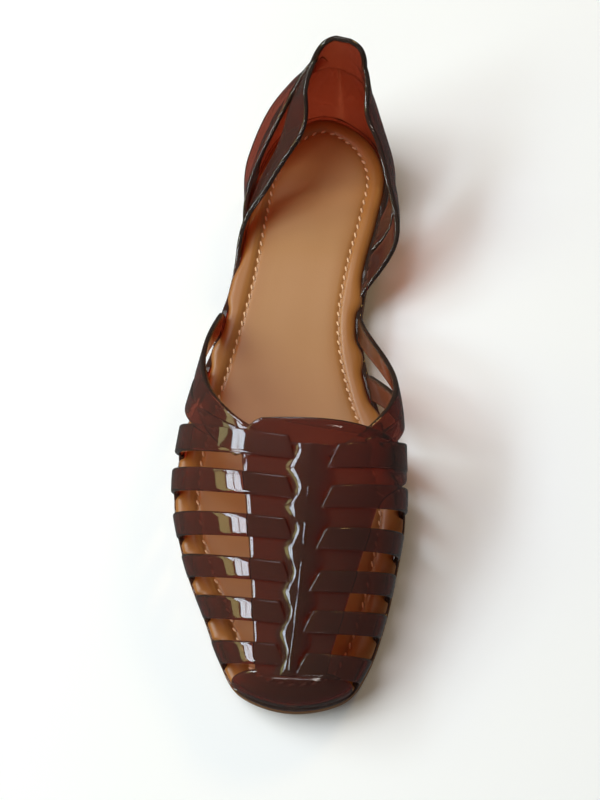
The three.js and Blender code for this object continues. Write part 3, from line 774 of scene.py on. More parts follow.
    def centre_rib(self):
        """The raised rib along the crest, swollen between the strips."""
        start = self.TOE_CAP_DEPTH - self.RIB_OVERLAP
        end = self.throat + self.RIB_PAST_THROAT
        crests = np.array(STRIPS["crest"]) * self.last.length
        pitch = (crests[0] - crests[-1]) / (len(crests) - 1)

        def half(y):
            nearest = np.min(np.abs(crests - y[..., None]), axis=-1)
            swell = smoothstep(nearest, 0, pitch / 2)
            return self.band_half(y) * self.rib_share + self.rib_swell * swell

        def place(u, v):
            y = lerp(start, end, u) + 0 * v
            nearer = np.where(v < 0.5, y, y + self.MEDIAL_CREST_SHIFT)
            return self.across_crest(y, np.clip(2 * v - 1, -1, 1), half(nearer)), y

        def span(u, v):
            dome = 1 - np.abs(2 * v - 1) ** 2
            seam = self.SEAM_RISE * np.exp(-(((v - 0.5) / self.SEAM_SPREAD) ** 2))
            top = self.wall + self.rib_rise * dome + seam
            return self.wall * self.RIB_FOOT + 0 * top + 0 * u, top + 0 * u

        return ribbon(self.last.vamp, place, 150, span, self.RIB_EDGE, flats=24, blunt=True)

    def toe_cap(self):
        """The toe cap over the nose, with its rear edge drawn in to the band."""
        last = self.last
        cap_half = self.band_toe + self.TOE_CAP_OVERLAP
        narrow = last.arch_at_width(self.TOE_CAP_DEPTH, LATERAL, cap_half)

        def place(u, v):
            part = 2 * u - 1
            drawn = np.clip((1 - np.abs(part)) / (1 - narrow), 0, 1)
            rear = lerp(self.TOE_CAP_FLANK, self.TOE_CAP_DEPTH, np.sqrt(drawn))
            y = rear * (self.TOE_CAP_TIP + (1 - self.TOE_CAP_TIP) * v) ** 2
            return part + 0 * v, y

        return ribbon(last.vamp, place, 80, self.plain, self.edge, flats=14)

    def heel_strip(self, table, side):
        """One strip of the heel on one side."""
        last = self.last
        reach = last.block_length * (self.MEDIAL_REACH if side == MEDIAL else 1)
        keyed = by_step(table)
        arc, rise, half = (curve_through(keyed, "step", k) for k in ("arc", "rise", "half"))
        pull, twist, middle = (curve_through(table, "arc", k) for k in ("pull", "twist", "rise"))

        def pulled(level, distance):
            far = np.abs(distance) / reach
            turned = twist(far) * (level - middle(far) * last.heel_wall)
            if side == LATERAL:
                inward = pull(far) * last.heel_wall + turned
            else:
                inward = turned * self.MEDIAL_TWIST
            return last.heel_point(level, distance, inward)

        def place(u, v):
            run = slope(arc, u) * reach
            climb = slope(rise, u) * last.heel_wall
            way = np.hypot(run, climb)
            out = (2 * v - 1) * half(u) * last.heel_wall
            level = np.maximum(rise(u) * last.heel_wall - run / way * out, -last.skirt)
            distance = arc(u) * reach + climb / way * out
            return level, side * np.maximum(distance, 0.5)

        return ribbon(Surface(pulled, last.heel.steps), place, 60, self.plain, self.edge)

    def counter(self):
        """The counter panel and the tab round the back of the heel."""
        last = self.last
        edge = curve_through(COUNTER_EDGE, "rise", "arc")
        low = COUNTER_EDGE["rise"][0]

        def place(u, v):
            part = lerp(low, 1, u)
            reach = edge(part) * last.block_length
            return np.maximum(part * last.heel_wall, -last.skirt) + 0 * v, (2 * v - 1) * reach

        def span(u, v):
            fold = np.exp(-(((v - self.CREASE_PLACE) / self.CREASE_SPREAD) ** 2))
            crease = self.CREASE_DEPTH * fold * smoothstep(u, *self.CREASE_TOP)
            return crease + 0 * u, self.wall + 0 * u + 0 * v

        return ribbon(
            last.heel, place, 70, span, self.edge, flats=44, blunt=True, spread=denser_end
        )

    def tab_rim(self):
        """The bead along the free edge of the counter and its tab."""
        last = self.last
        edge = curve_through(COUNTER_EDGE, "rise", "arc")
        rises = 1 - np.linspace(1, 0, 50) ** self.RIM_DENSITY * self.RIM_DEPTH
        arcs = edge(rises) * last.block_length
        level = np.concatenate([rises, rises[::-1]]) * last.heel_wall
        arc = np.concatenate([-arcs, arcs[::-1]])
        centre = last.heel_point(level, arc)
        centre += normal_of(last.heel, level, arc) * self.wall * 0.5
        return tube(centre, self.rim)

    def held(self, index):
        """Where the rand stands up to carry a strap: 1 at the straps, 0 in the open gaps."""
        last = self.last
        spot = last.outline_at(index)
        y = spot[:, 1]
        inner = spot[:, 0] > HEEL_CENTRE * last.ball
        held = 1 - smoothstep(y, *self.TOE_HELD)
        place = np.interp(index, np.arange(last.SAMPLES + 1), last.arcs)
        arc = np.abs(last.arcs[last.heel_index] - place)
        arc = np.minimum(arc, last.arcs[-1] - arc)
        rear = HEEL_STRIPS[0]["arc"][0] * last.block_length * np.where(inner, self.MEDIAL_REACH, 1)
        before, behind = self.REAR_HELD
        held = np.maximum(held, 1 - smoothstep(arc, rear + before, rear + behind))
        feet = []
        for at, width in zip(STRIPS["rand"], STRIPS["rand_width"]):
            half = width * last.length / 2
            feet.append((at * last.length, half, self.STRIP_FADE, self.MEDIAL_RAND_SHIFT))
        for table in BRANCHES:
            half = table["width"][0] * last.length * self.BRANCH_FOOT
            feet.append((table["along"][0] * last.length, half, self.BRANCH_FADE, 0))
        for at, half, fade, shift in feet:
            away = np.abs(y - at + np.where(inner, shift, 0))
            held = np.maximum(held, 1 - smoothstep(away, half, half + fade))
        return held

    def rand(self):
        """The moulded edge under the insole's border, raised where it carries a strap."""
        last = self.last
        index, _ = last.stations(RIM_STATIONS)
        held = self.held(index)
        inner = last.gap
        outer = last.gap + self.rand_wall
        radius = self.RAND_RADIUS
        section = [(inner, 0, 0), (outer, 0, 0)]
        section += [
            (outer - radius * (1 - math.cos(a)), 1, -radius * (1 - math.sin(a))) for a in ROUND
        ]
        section += [(inner, 1, 0)]
        rings = []
        for offset, upper, lift in section:
            flat = last.outline_at(index, offset)
            height = last.outsole_top(flat[:, 1]) + last.gap
            if upper:
                lowered = height + self.RAND_LOW + lift * self.RAND_LOW_ROUND
                raised = last.arch_base(flat[:, 1]) + self.RAND_TOP + lift
                height = lerp(lowered, raised, held)
            rings.append(np.column_stack([flat, height]))
        return lofted(np.array(rings), closed=True)

    def solids(self):
        """All the members, the rand first."""
        made = [self.rand(), self.middle_band(), self.centre_rib(), self.toe_cap()]
        made += [self.counter(), self.tab_rim()]
        for side in (LATERAL, MEDIAL):
            made += [self.cross_strip(row, side) for row in range(len(STRIPS["rand"]))]
            made += [self.collar_branch(table, side) for table in BRANCHES]
            made += [self.heel_strip(table, side) for table in HEEL_STRIPS]
        return made


def tube(centre, radius, around=12):
    """A closed round bar along a line of points."""
    way = np.gradient(centre, axis=0)
    way /= np.linalg.norm(way, axis=1, keepdims=True)
    side = np.cross(way, [0, 0, 1.0])
    short = np.linalg.norm(side, axis=1, keepdims=True)
    side = np.where(short > 1e-6, side / np.maximum(short, 1e-9), [1.0, 0, 0])
    for i in range(1, len(side)):
        across = side[i - 1] - way[i] * (side[i - 1] @ way[i])
        side[i] = across / np.linalg.norm(across)
    up = np.cross(side, way)
    angles = (np.arange(around) * 2 * math.pi / around)[None, :, None]
    reach = np.cos(angles) * side[:, None] + np.sin(angles) * up[:, None]
    return lofted(centre[:, None] + radius * reach)


def place_in_frame(last):
    """The frame's place of the toe tip in metres, from the insole's box."""
    low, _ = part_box("insole")
    return Vector((low.x - last.outline[:, 0].min() * MM, low.y - last.outline[:, 1].min() * MM, 0))


def mesh_from(name, solid, last, edges=()):
    """A mesh in the frame's place from a solid, or from lines, in millimetres."""
    data = bpy.data.meshes.new(name)
    shift = np.array(place_in_frame(last))
    data.from_pydata((solid.points * MM + shift).tolist(), edges, solid.faces)
    data.update()
    return data


def show(name, data, material):
    """A new object in the scene for a mesh."""
    made = bpy.data.objects.new(name, data)
    bpy.context.scene.collection.objects.link(made)
    data.materials.clear()
    data.materials.append(material)
    return made


def smooth(data, angle):
    """Smooth faces with sharp edges above an angle."""
    data.polygons.foreach_set("use_smooth", [True] * len(data.polygons))
    data.set_sharp_from_angle(angle=angle)


def evaluated(made):
    """The object's mesh with its modifiers applied, as a new mesh."""
    bpy.context.view_layer.update()
    graph = bpy.context.evaluated_depsgraph_get()
    return bpy.data.meshes.new_from_object(made.evaluated_get(graph))


def union(name, solids, last):
    """One closed mesh that joins overlapping solids."""
    parts = [bpy.data.objects.new(name, mesh_from(name, solid, last)) for solid in solids]
    group = bpy.data.collections.new(name)
    bpy.context.scene.collection.children.link(group)
    bpy.context.scene.collection.objects.link(parts[0])
    for part in parts[1:]:
        group.objects.link(part)
    join = parts[0].modifiers.new("Join", "BOOLEAN")
    join.operation = "UNION"
    join.operand_type = "COLLECTION"
    join.collection = group
    join.solver = "MANIFOLD"
    data = evaluated(parts[0])
    for part in parts:
        bpy.data.objects.remove(part)
    bpy.data.collections.remove(group)
    keep_largest(data)
    return data


def keep_largest(data):
    """Keeps the body with the most vertices and drops crumbs and inner pockets."""
    work = bmesh.new()
    work.from_mesh(data)
    seen, bodies = set(), []
    for start in work.verts:
        if start in seen:
            continue
        seen.add(start)
        body, open_ends = [start], [start]
        while open_ends:
            for edge in open_ends.pop().link_edges:
                for vertex in edge.verts:
                    if vertex not in seen:
                        seen.add(vertex)
                        body.append(vertex)
                        open_ends.append(vertex)
        bodies.append(body)
    bodies.sort(key=len)
    for body in bodies[:-1]:
        bmesh.ops.delete(work, geom=body, context="VERTS")
    work.to_mesh(data)
    work.free()


def node(tree, kind, inputs=None, links=None, **settings):
    """Adds a node with its settings, input values and incoming links."""
    made = tree.nodes.new(kind)
    for name, value in settings.items():
        setattr(made, name, value)
    for name, value in (inputs or {}).items():
        made.inputs[name].default_value = value
    for name, source in (links or {}).items():
        tree.links.new(source, made.inputs[name])
    return made


def new_material(name):
    """An empty node material and its output."""
    material = bpy.data.materials.new(name)
    material.use_nodes = True
    material.node_tree.nodes.clear()
    return material, node(material.node_tree, "ShaderNodeOutputMaterial")


def relief(tree, kind, inputs, strength, depth, height="Fac", **settings):
    """The normal of a bump from a texture that lies in the object's own place."""
    place = node(tree, "ShaderNodeTexCoord")
    texture = node(tree, kind, inputs, {"Vector": place.outputs["Object"]}, **settings)
    bump = node(
        tree, "ShaderNodeBump", {"Strength": strength, "Distance": depth},
        {"Height": texture.outputs[height]},
    )
    return bump.outputs["Normal"]


def matt_material(name, tint, roughness, inputs, strength, depth):
    """A plain matt material with a fine noise in its skin."""
    material, output = new_material(name)
    tree = material.node_tree
    body = node(
        tree, "ShaderNodeBsdfPrincipled", {"Base Color": tint, "Roughness": roughness},
        {"Normal": relief(tree, "ShaderNodeTexNoise", inputs, strength, depth)},
    )
    tree.links.new(body.outputs[0], output.inputs["Surface"])
    return material


def pvc_material(colours):
    """Soft translucent PVC: clear gloss over a red-brown depth, slightly wavy from the mould."""
    material, output = new_material("soft translucent PVC")
    tree = material.node_tree
    wave = {"Scale": 1 / 0.018, "Detail": 2.0, "Roughness": 0.4}
    body = node(
        tree, "ShaderNodeBsdfPrincipled",
        {
            "Base Color": colours.pvc,
            "Roughness": 0.045,
            "IOR": 1.53,
            "Transmission Weight": 0.95,
        },
        {"Normal": relief(tree, "ShaderNodeTexNoise", wave, strength=0.12, depth=0.0008)},
    )
    clear = node(tree, "ShaderNodeBsdfTransparent", {"Color": (0.54, 0.6, 0.64, 1)})
    ray = node(tree, "ShaderNodeLightPath")
    mixed = node(
        tree, "ShaderNodeMixShader", None,
        {0: ray.outputs["Is Shadow Ray"], 1: body.outputs[0], 2: clear.outputs[0]},
    )
    depth = node(
        tree, "ShaderNodeVolumeAbsorption",
        {"Color": colours.pvc_depth, "Density": colours.pvc_density},
    )
    tree.links.new(mixed.outputs[0], output.inputs["Surface"])
    tree.links.new(depth.outputs[0], output.inputs["Volume"])
    return material


def cover_material(colours):
    """Tan synthetic leather of the insole, darker towards its border, with a fine grain."""
    material, output = new_material("tan synthetic leather")
    tree = material.node_tree
    place = node(tree, "ShaderNodeTexCoord")
    border = node(tree, "ShaderNodeAttribute", attribute_name="inset")
    fade = node(
        tree, "ShaderNodeMapRange", {"From Min": 0.0, "From Max": 0.016},
        {"Value": border.outputs["Fac"]}, interpolation_type="SMOOTHSTEP",
    )
    cloud = node(
        tree, "ShaderNodeTexNoise", {"Scale": 1 / 0.035, "Detail": 3.0},
        {"Vector": place.outputs["Object"]},
    )
    spread = node(
        tree, "ShaderNodeMath", {1: 0.5}, {0: cloud.outputs["Fac"]}, operation="SUBTRACT",
    )
    part = node(
        tree, "ShaderNodeMath", {1: 0.5, 2: 0.0}, {0: spread.outputs[0], 2: fade.outputs[0]},
        operation="MULTIPLY_ADD", use_clamp=True,
    )
    tint = node(
        tree, "ShaderNodeMix", {6: colours.cover_edge, 7: colours.cover},
        {0: part.outputs[0]}, data_type="RGBA",
    )
    grain = relief(
        tree, "ShaderNodeTexVoronoi", {"Scale": 1 / 0.0011}, strength=0.25, depth=0.00012,
        height="Distance", feature="DISTANCE_TO_EDGE",
    )
    body = node(
        tree, "ShaderNodeBsdfPrincipled",
        {
            "Roughness": 0.36,
            "Specular IOR Level": 0.5,
            "Sheen Weight": 0.08,
            "Sheen Roughness": 0.4,
        },
        {"Base Color": tint.outputs[2], "Normal": grain},
    )
    tree.links.new(body.outputs[0], output.inputs["Surface"])
    return material


def thread_material(colours):
    """Cream polyester sewing thread with its twist."""
    return matt_material(
        "cream polyester thread", colours.thread, roughness=0.6,
        inputs={"Scale": 1 / 0.0004}, strength=0.3, depth=0.0001,
    )


def rubber_material(colours):
    """Plain brown rubber of the outsole and heel, with a fine matt skin."""
    return matt_material(
        "brown moulded rubber", colours.rubber, roughness=0.55,
        inputs={"Scale": 1 / 0.0009, "Detail": 4.0}, strength=0.2, depth=0.0002,
    )


def material_for(kind):
    """A finish by its kind, made once."""
    makers = {
        "soft translucent PVC": pvc_material,
        "tan synthetic leather": cover_material,
        "cream polyester thread": thread_material,
        "brown moulded rubber": rubber_material,
    }
    return bpy.data.materials.get(kind) or makers[kind](bpy.context.scene.sandal_colours)


def ring_points(last, index, offset, height):
    """A ring of points round the outline at an offset, with its height as a function of y."""
    flat = last.outline_at(index, offset)
    return np.column_stack([flat, height(flat[:, 1])])


def plate(rings, count):
    """A closed plate between rings of the same stations, capped across the foot."""
    around = rings[0].shape[0]
    faces = []
    for r in range(len(rings) - 1):
        here, there = r * around, (r + 1) * around
        for i in range(around):
            j = (i + 1) % around
            faces.append((here + i, here + j, there + j, there + i))
    for start, flip in ((0, True), ((len(rings) - 1) * around, False)):
        for i in range(count):
            corners = [i, i + 1, (around - i - 1) % around, (around - i) % around]
            face = [start + k for k in dict.fromkeys(corners)]
            if len(face) > 2:
                faces.append(tuple(face[::-1] if flip else face))
    return outward(Solid(np.concatenate(rings), faces))


class SANDAL_OT_upper(bpy.types.Operator):
    """Builds the moulded upper as one closed mesh"""

    bl_idname = "sandal.upper"
    bl_label = "Build the upper"

    def execute(self, context):
        last = Last(context.scene.sandal_sizes)
        upper = Upper(last, context.scene.upper_sizes)
        data = union("moulded_upper", upper.solids(), last)
        smooth(data, math.radians(35))
        made = show("moulded_upper", data, material_for("soft translucent PVC"))
        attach(made, "root")
        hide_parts("upper")
        return {"FINISHED"}


class SANDAL_OT_insole(bpy.types.Operator):
    """Builds the insole with its rolled border and the groove of the stitch line"""

    bl_idname = "sandal.insole"
    bl_label = "Build the insole"

    # The border's reach over the lowered rand, and how far in it fades.
    OVERHANG = 1.8
    OVERHANG_FADE = 6

    # The height of a ring half way up the side.
    SIDE_RING = 0.95

    # The middle line's ends, the flat's rise at that line and beside the border, and the
    # rings between the two, as shares and as the depth that the colour sees.
    SPINE = (30, 215)
    SPINE_RISE = 0.16
    RIM_RISE = 0.12
    RINGS = (0.3, 0.6, 0.85, 0.97)
    RING_DEPTH = 12

    def execute(self, context):
        last = Last(context.scene.sandal_sizes)
        index, levels = last.stations(RIM_STATIONS)
        out = (1 - Upper(last, context.scene.upper_sizes).held(index)) * self.OVERHANG
        section = curve_through(INSOLE_SECTION, "inset", "height")
        insets = np.concatenate([np.linspace(0, 1, 6)[:-1], np.linspace(1, 9, 24), [10.5, 12]])
        border = insets[-1]
        rings = [
            ring_points(last, index, 0, lambda y, h=h: last.outsole_top(y) + last.gap + h)
            for h in (0, self.SIDE_RING)
        ]
        depth = [0.0, 0.0]
        for inset in insets:
            lift = section(inset)
            spread = out * (1 - smoothstep(inset, 0, self.OVERHANG_FADE)) - inset
            rings.append(ring_points(last, index, spread, lambda y, h=lift: last.insole_top(y) + h))
            depth.append(inset)
        rim = rings[-1]
        round_y = np.concatenate([[0], levels, [last.length], levels[::-1]])
        spine_y = np.clip(round_y, *self.SPINE)
        outer, inner = (
            last.outline_at(last.index_along(spine_y, side))[:, 0] for side in (LATERAL, MEDIAL)
        )
        spine_z = last.insole_top(spine_y) + self.SPINE_RISE
        spine = np.column_stack([(outer + inner) / 2, spine_y, spine_z])
        for part in self.RINGS:
            ring = lerp(rim, spine, part)
            rise = lerp(self.RIM_RISE, self.SPINE_RISE, part)
            ring[:, 2] = last.insole_top(ring[:, 1]) + rise
            rings.append(ring)
            depth.append(border + self.RING_DEPTH * part)
        solid = plate(rings, RIM_STATIONS)
        data = mesh_from("covered_insole", solid, last)
        inset = data.attributes.new("inset", "FLOAT", "POINT")
        values = np.repeat(np.array(depth) * MM, len(index)).astype(np.float32)
        inset.data.foreach_set("value", values)
        smooth(data, math.radians(50))
        made = show("covered_insole", data, material_for("tan synthetic leather"))
        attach(made, "root")
        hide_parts("insole")
        return {"FINISHED"}


def with_nodes(name, tree, source, inputs):
    """A plain mesh from a node tree over a source mesh, with inputs set by name."""
    holder = bpy.data.objects.new(name, source)
    bpy.context.scene.collection.objects.link(holder)
    modifier = holder.modifiers.new(name, "NODES")
    modifier.node_group = tree
    for socket in tree.interface.items_tree:
        if socket.name in inputs:
            modifier[socket.identifier] = inputs[socket.name]
    data = evaluated(holder)
    bpy.data.objects.remove(holder)
    return data


def new_tree(name, sockets):
    """A geometry node tree with a geometry in and out and named number inputs."""
    tree = bpy.data.node_groups.new(name, "GeometryNodeTree")
    tree.interface.new_socket("Geometry", in_out="INPUT", socket_type="NodeSocketGeometry")
    for socket, default in sockets.items():
        made = tree.interface.new_socket(socket, in_out="INPUT", socket_type="NodeSocketFloat")
        made.default_value = default
    tree.interface.new_socket("Geometry", in_out="OUTPUT", socket_type="NodeSocketGeometry")
    return tree, node(tree, "NodeGroupInput"), node(tree, "NodeGroupOutput")


def stitch_tree(sizes, material):
    """Stitches along a closed line: slanted rounded bars at an even pitch."""
    tree, given, result = new_tree(
        "Stitches along a line",
        {
            "Pitch": sizes.pitch,
            "Length": sizes.length,
            "Thread": sizes.thread,
            "Slant": sizes.slant,
        },
    )
    line = node(tree, "GeometryNodeMeshToCurve", None, {"Mesh": given.outputs["Geometry"]})
    spaced = node(
        tree, "GeometryNodeResampleCurve", None,
        {"Curve": line.outputs[0], "Length": given.outputs["Pitch"]}, mode="LENGTH",
    )
    way = node(tree, "GeometryNodeInputTangent")
    turned = node(
        tree, "FunctionNodeAlignRotationToVector", None, {"Vector": way.outputs[0]}, axis="X",
    )
    slant = node(tree, "ShaderNodeCombineXYZ", None, {"Z": given.outputs["Slant"]})
    slanted = node(
        tree, "FunctionNodeRotateRotation", None,
        {"Rotation": turned.outputs[0], "Rotate By": slant.outputs[0]}, rotation_space="LOCAL",
    )
    bead = node(
        tree, "GeometryNodeMeshUVSphere", {"Segments": 10, "Rings": 7, "Radius": 0.5},
    )
    shape = node(
        tree, "ShaderNodeCombineXYZ", None,
        {"X": given.outputs["Length"], "Y": given.outputs["Thread"], "Z": given.outputs["Thread"]},
    )
    sized = node(
        tree, "GeometryNodeTransform", None,
        {"Geometry": bead.outputs["Mesh"], "Scale": shape.outputs[0]},
    )
    placed = node(
        tree, "GeometryNodeInstanceOnPoints", None,
        {
            "Points": spaced.outputs[0],
            "Instance": sized.outputs[0],
            "Rotation": slanted.outputs[0],
        },
    )
    real = node(tree, "GeometryNodeRealizeInstances", None, {"Geometry": placed.outputs[0]})
    soft = node(tree, "GeometryNodeSetShadeSmooth", None, {"Geometry": real.outputs[0]})
    dressed = node(
        tree, "GeometryNodeSetMaterial", {"Material": material}, {"Geometry": soft.outputs[0]},
    )
    tree.links.new(dressed.outputs[0], result.inputs["Geometry"])
    return tree


class SANDAL_OT_stitches(bpy.types.Operator):
    """Builds the insole's row of stitches in its groove"""

    bl_idname = "sandal.stitches"
    bl_label = "Build the stitches"

    POINTS = 720
    SHOWN = 0.3

    def execute(self, context):
        last = Last(context.scene.sandal_sizes)
        sizes = context.scene.stitch_sizes
        index = np.linspace(0, last.SAMPLES, self.POINTS, endpoint=False)
        section = curve_through(INSOLE_SECTION, "inset", "height")
        inset = mm(sizes.inset)
        lift = section(inset) + mm(sizes.thread) * self.SHOWN
        line = ring_points(last, index, -inset, lambda y: last.insole_top(y) + lift)
        edges = [(i, (i + 1) % self.POINTS) for i in range(self.POINTS)]
        source = mesh_from("stitch_line", Solid(line, []), last, edges)
        material = material_for("cream polyester thread")
        tree = stitch_tree(sizes, material)
        inputs = {"Pitch": sizes.pitch, "Length": sizes.length}
        data = with_nodes("stitches", tree, source, inputs)
        made = show("insole_stitches", data, material)
        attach(made, "root")
        return {"FINISHED"}


def tread_tree(sizes, material):
    """Tread bars: a bar with a square section along each line."""
    tree, given, result = new_tree("Bars along lines", {"Width": sizes.bar})
    line = node(tree, "GeometryNodeMeshToCurve", None, {"Mesh": given.outputs["Geometry"]})
    section = node(
        tree, "GeometryNodeCurvePrimitiveQuadrilateral", None,
        {"Width": given.outputs["Width"], "Height": given.outputs["Width"]},
    )
    bars = node(
        tree, "GeometryNodeCurveToMesh", {"Fill Caps": True},
        {"Curve": line.outputs[0], "Profile Curve": section.outputs[0]},
    )
    real = node(tree, "GeometryNodeRealizeInstances", None, {"Geometry": bars.outputs[0]})
    dressed = node(
        tree, "GeometryNodeSetMaterial", {"Material": material}, {"Geometry": real.outputs[0]},
    )
    tree.links.new(dressed.outputs[0], result.inputs["Geometry"])
    return tree


class SANDAL_OT_tread(bpy.types.Operator):
    """Builds the wavy tread bars in the outsole's recess"""

    bl_idname = "sandal.tread"
    bl_label = "Build the tread"

    START = 12
    MARGIN = 3.2
    BREAST_GAP = 3
    POINTS = 41
    LIFT = 0.1

    def execute(self, context):
        last = Last(context.scene.sandal_sizes)
        sizes = context.scene.tread_sizes
        pitch, bar = mm(sizes.pitch), mm(sizes.bar)
        wave, wave_length = mm(sizes.wave), mm(sizes.wave_length)
        end = last.length - last.block_length - self.BREAST_GAP
        lines, edges = [], []
        for middle in np.arange(self.START, end, pitch):
            inner, outer = (
                last.outline_at(last.index_along(middle, side), -self.MARGIN)[0]
                for side in (MEDIAL, LATERAL)
            )
            x = np.linspace(outer, inner, self.POINTS)
            y = middle + wave * np.sin(2 * math.pi * x / wave_length)
            first = len(lines) * self.POINTS
            edges += [(first + i, first + i + 1) for i in range(self.POINTS - 1)]
            lines.append(np.column_stack([x, y, last.underside(y) + bar / 2 + self.LIFT]))
        source = mesh_from("tread_lines", Solid(np.concatenate(lines), []), last, edges)
        material = material_for("brown moulded rubber")
        tree = tread_tree(sizes, material)
        data = with_nodes("tread", tree, source, {"Width": sizes.bar})
        made = show("sole_tread", data, material)
        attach(made, "root")
        return {"FINISHED"}


class SANDAL_OT_outsole(bpy.types.Operator):
    """Builds the outsole with rounded edges"""

    bl_idname = "sandal.outsole"
    bl_label = "Build the outsole"

    STATIONS = 180

    # The recess's wall: distances in from the sole's edge, and heights over the underside.
    RECESS = ((5.5, 0.8), (5.0, 0.1), (4.9, 0.0))
    LOW_RADIUS = 0.9
    TOP_RADIUS = 0.5

    def execute(self, context):
        last = Last(context.scene.sandal_sizes)
        upper = Upper(last, context.scene.upper_sizes)
        index, _ = last.stations(self.STATIONS)
        edge = upper.sole_edge()
        low = [(edge - inset, height) for inset, height in self.RECESS]
        for a in ROUND:
            inset, rise = self.LOW_RADIUS * (1 - math.sin(a)), self.LOW_RADIUS * (1 - math.cos(a))
            low.append((edge - inset, rise))
        high = []
        for a in ROUND:
            inset, drop = self.TOP_RADIUS * (1 - math.cos(a)), self.TOP_RADIUS * (1 - math.sin(a))
            high.append((edge - inset, -drop))
        rings = [ring_points(last, index, o, lambda y, h=h: last.underside(y) + h) for o, h in low]
        rings += [
            ring_points(last, index, o, lambda y, h=h: last.outsole_top(y) + h) for o, h in high
        ]
        data = mesh_from("outsole_rubber", plate(rings, self.STATIONS), last)
        smooth(data, math.radians(40))
        made = show("outsole_rubber", data, material_for("brown moulded rubber"))
        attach(made, "root")
        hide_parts("outsole")
        return {"FINISHED"}


class SANDAL_OT_heel(bpy.types.Operator):
    """Builds the low heel block behind its breast"""

    bl_idname = "sandal.heel"
    bl_label = "Build the heel"

    STATIONS = 180
    LOW_INSET = 1.68
    LOW_RADIUS = 0.7

    # The top's edge: distances in from the sole's edge, and down from the top.
    TOP_EDGE = ((0.5, 0.3), (0.8, 0))

    def execute(self, context):
        last = Last(context.scene.sandal_sizes)
        upper = Upper(last, context.scene.upper_sizes)
        index, _ = last.stations(self.STATIONS)
        edge = upper.sole_edge()
        top = last.block_height - last.gap
        foot = edge - self.LOW_INSET
        sides = [
            (foot + self.LOW_RADIUS * math.sin(a), self.LOW_RADIUS * (1 - math.cos(a)))
            for a in ROUND
        ]
        sides += [(edge - inset, top - drop) for inset, drop in self.TOP_EDGE]
        rings = [ring_points(last, index, o, lambda y, h=h: 0 * y + h) for o, h in sides]
        data = mesh_from("heel_block", plate(rings, self.STATIONS), last)
        work = bmesh.new()
        work.from_mesh(data)
        breast = place_in_frame(last).y + (last.length + edge - last.block_length) * MM
        geometry = [*work.verts, *work.edges, *work.faces]
        bmesh.ops.bisect_plane(
            work, geom=geometry, plane_co=(0, breast, 0), plane_no=(0, -1, 0), clear_outer=True
        )
        rim = [e for e in work.edges if e.is_boundary]
        bmesh.ops.contextual_create(work, geom=rim)
        bmesh.ops.recalc_face_normals(work, faces=work.faces)
        work.to_mesh(data)
        work.free()
        smooth(data, math.radians(40))
        made = show("heel_block", data, material_for("brown moulded rubber"))
        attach(made, "root")
        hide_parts("heel")
        return {"FINISHED"}


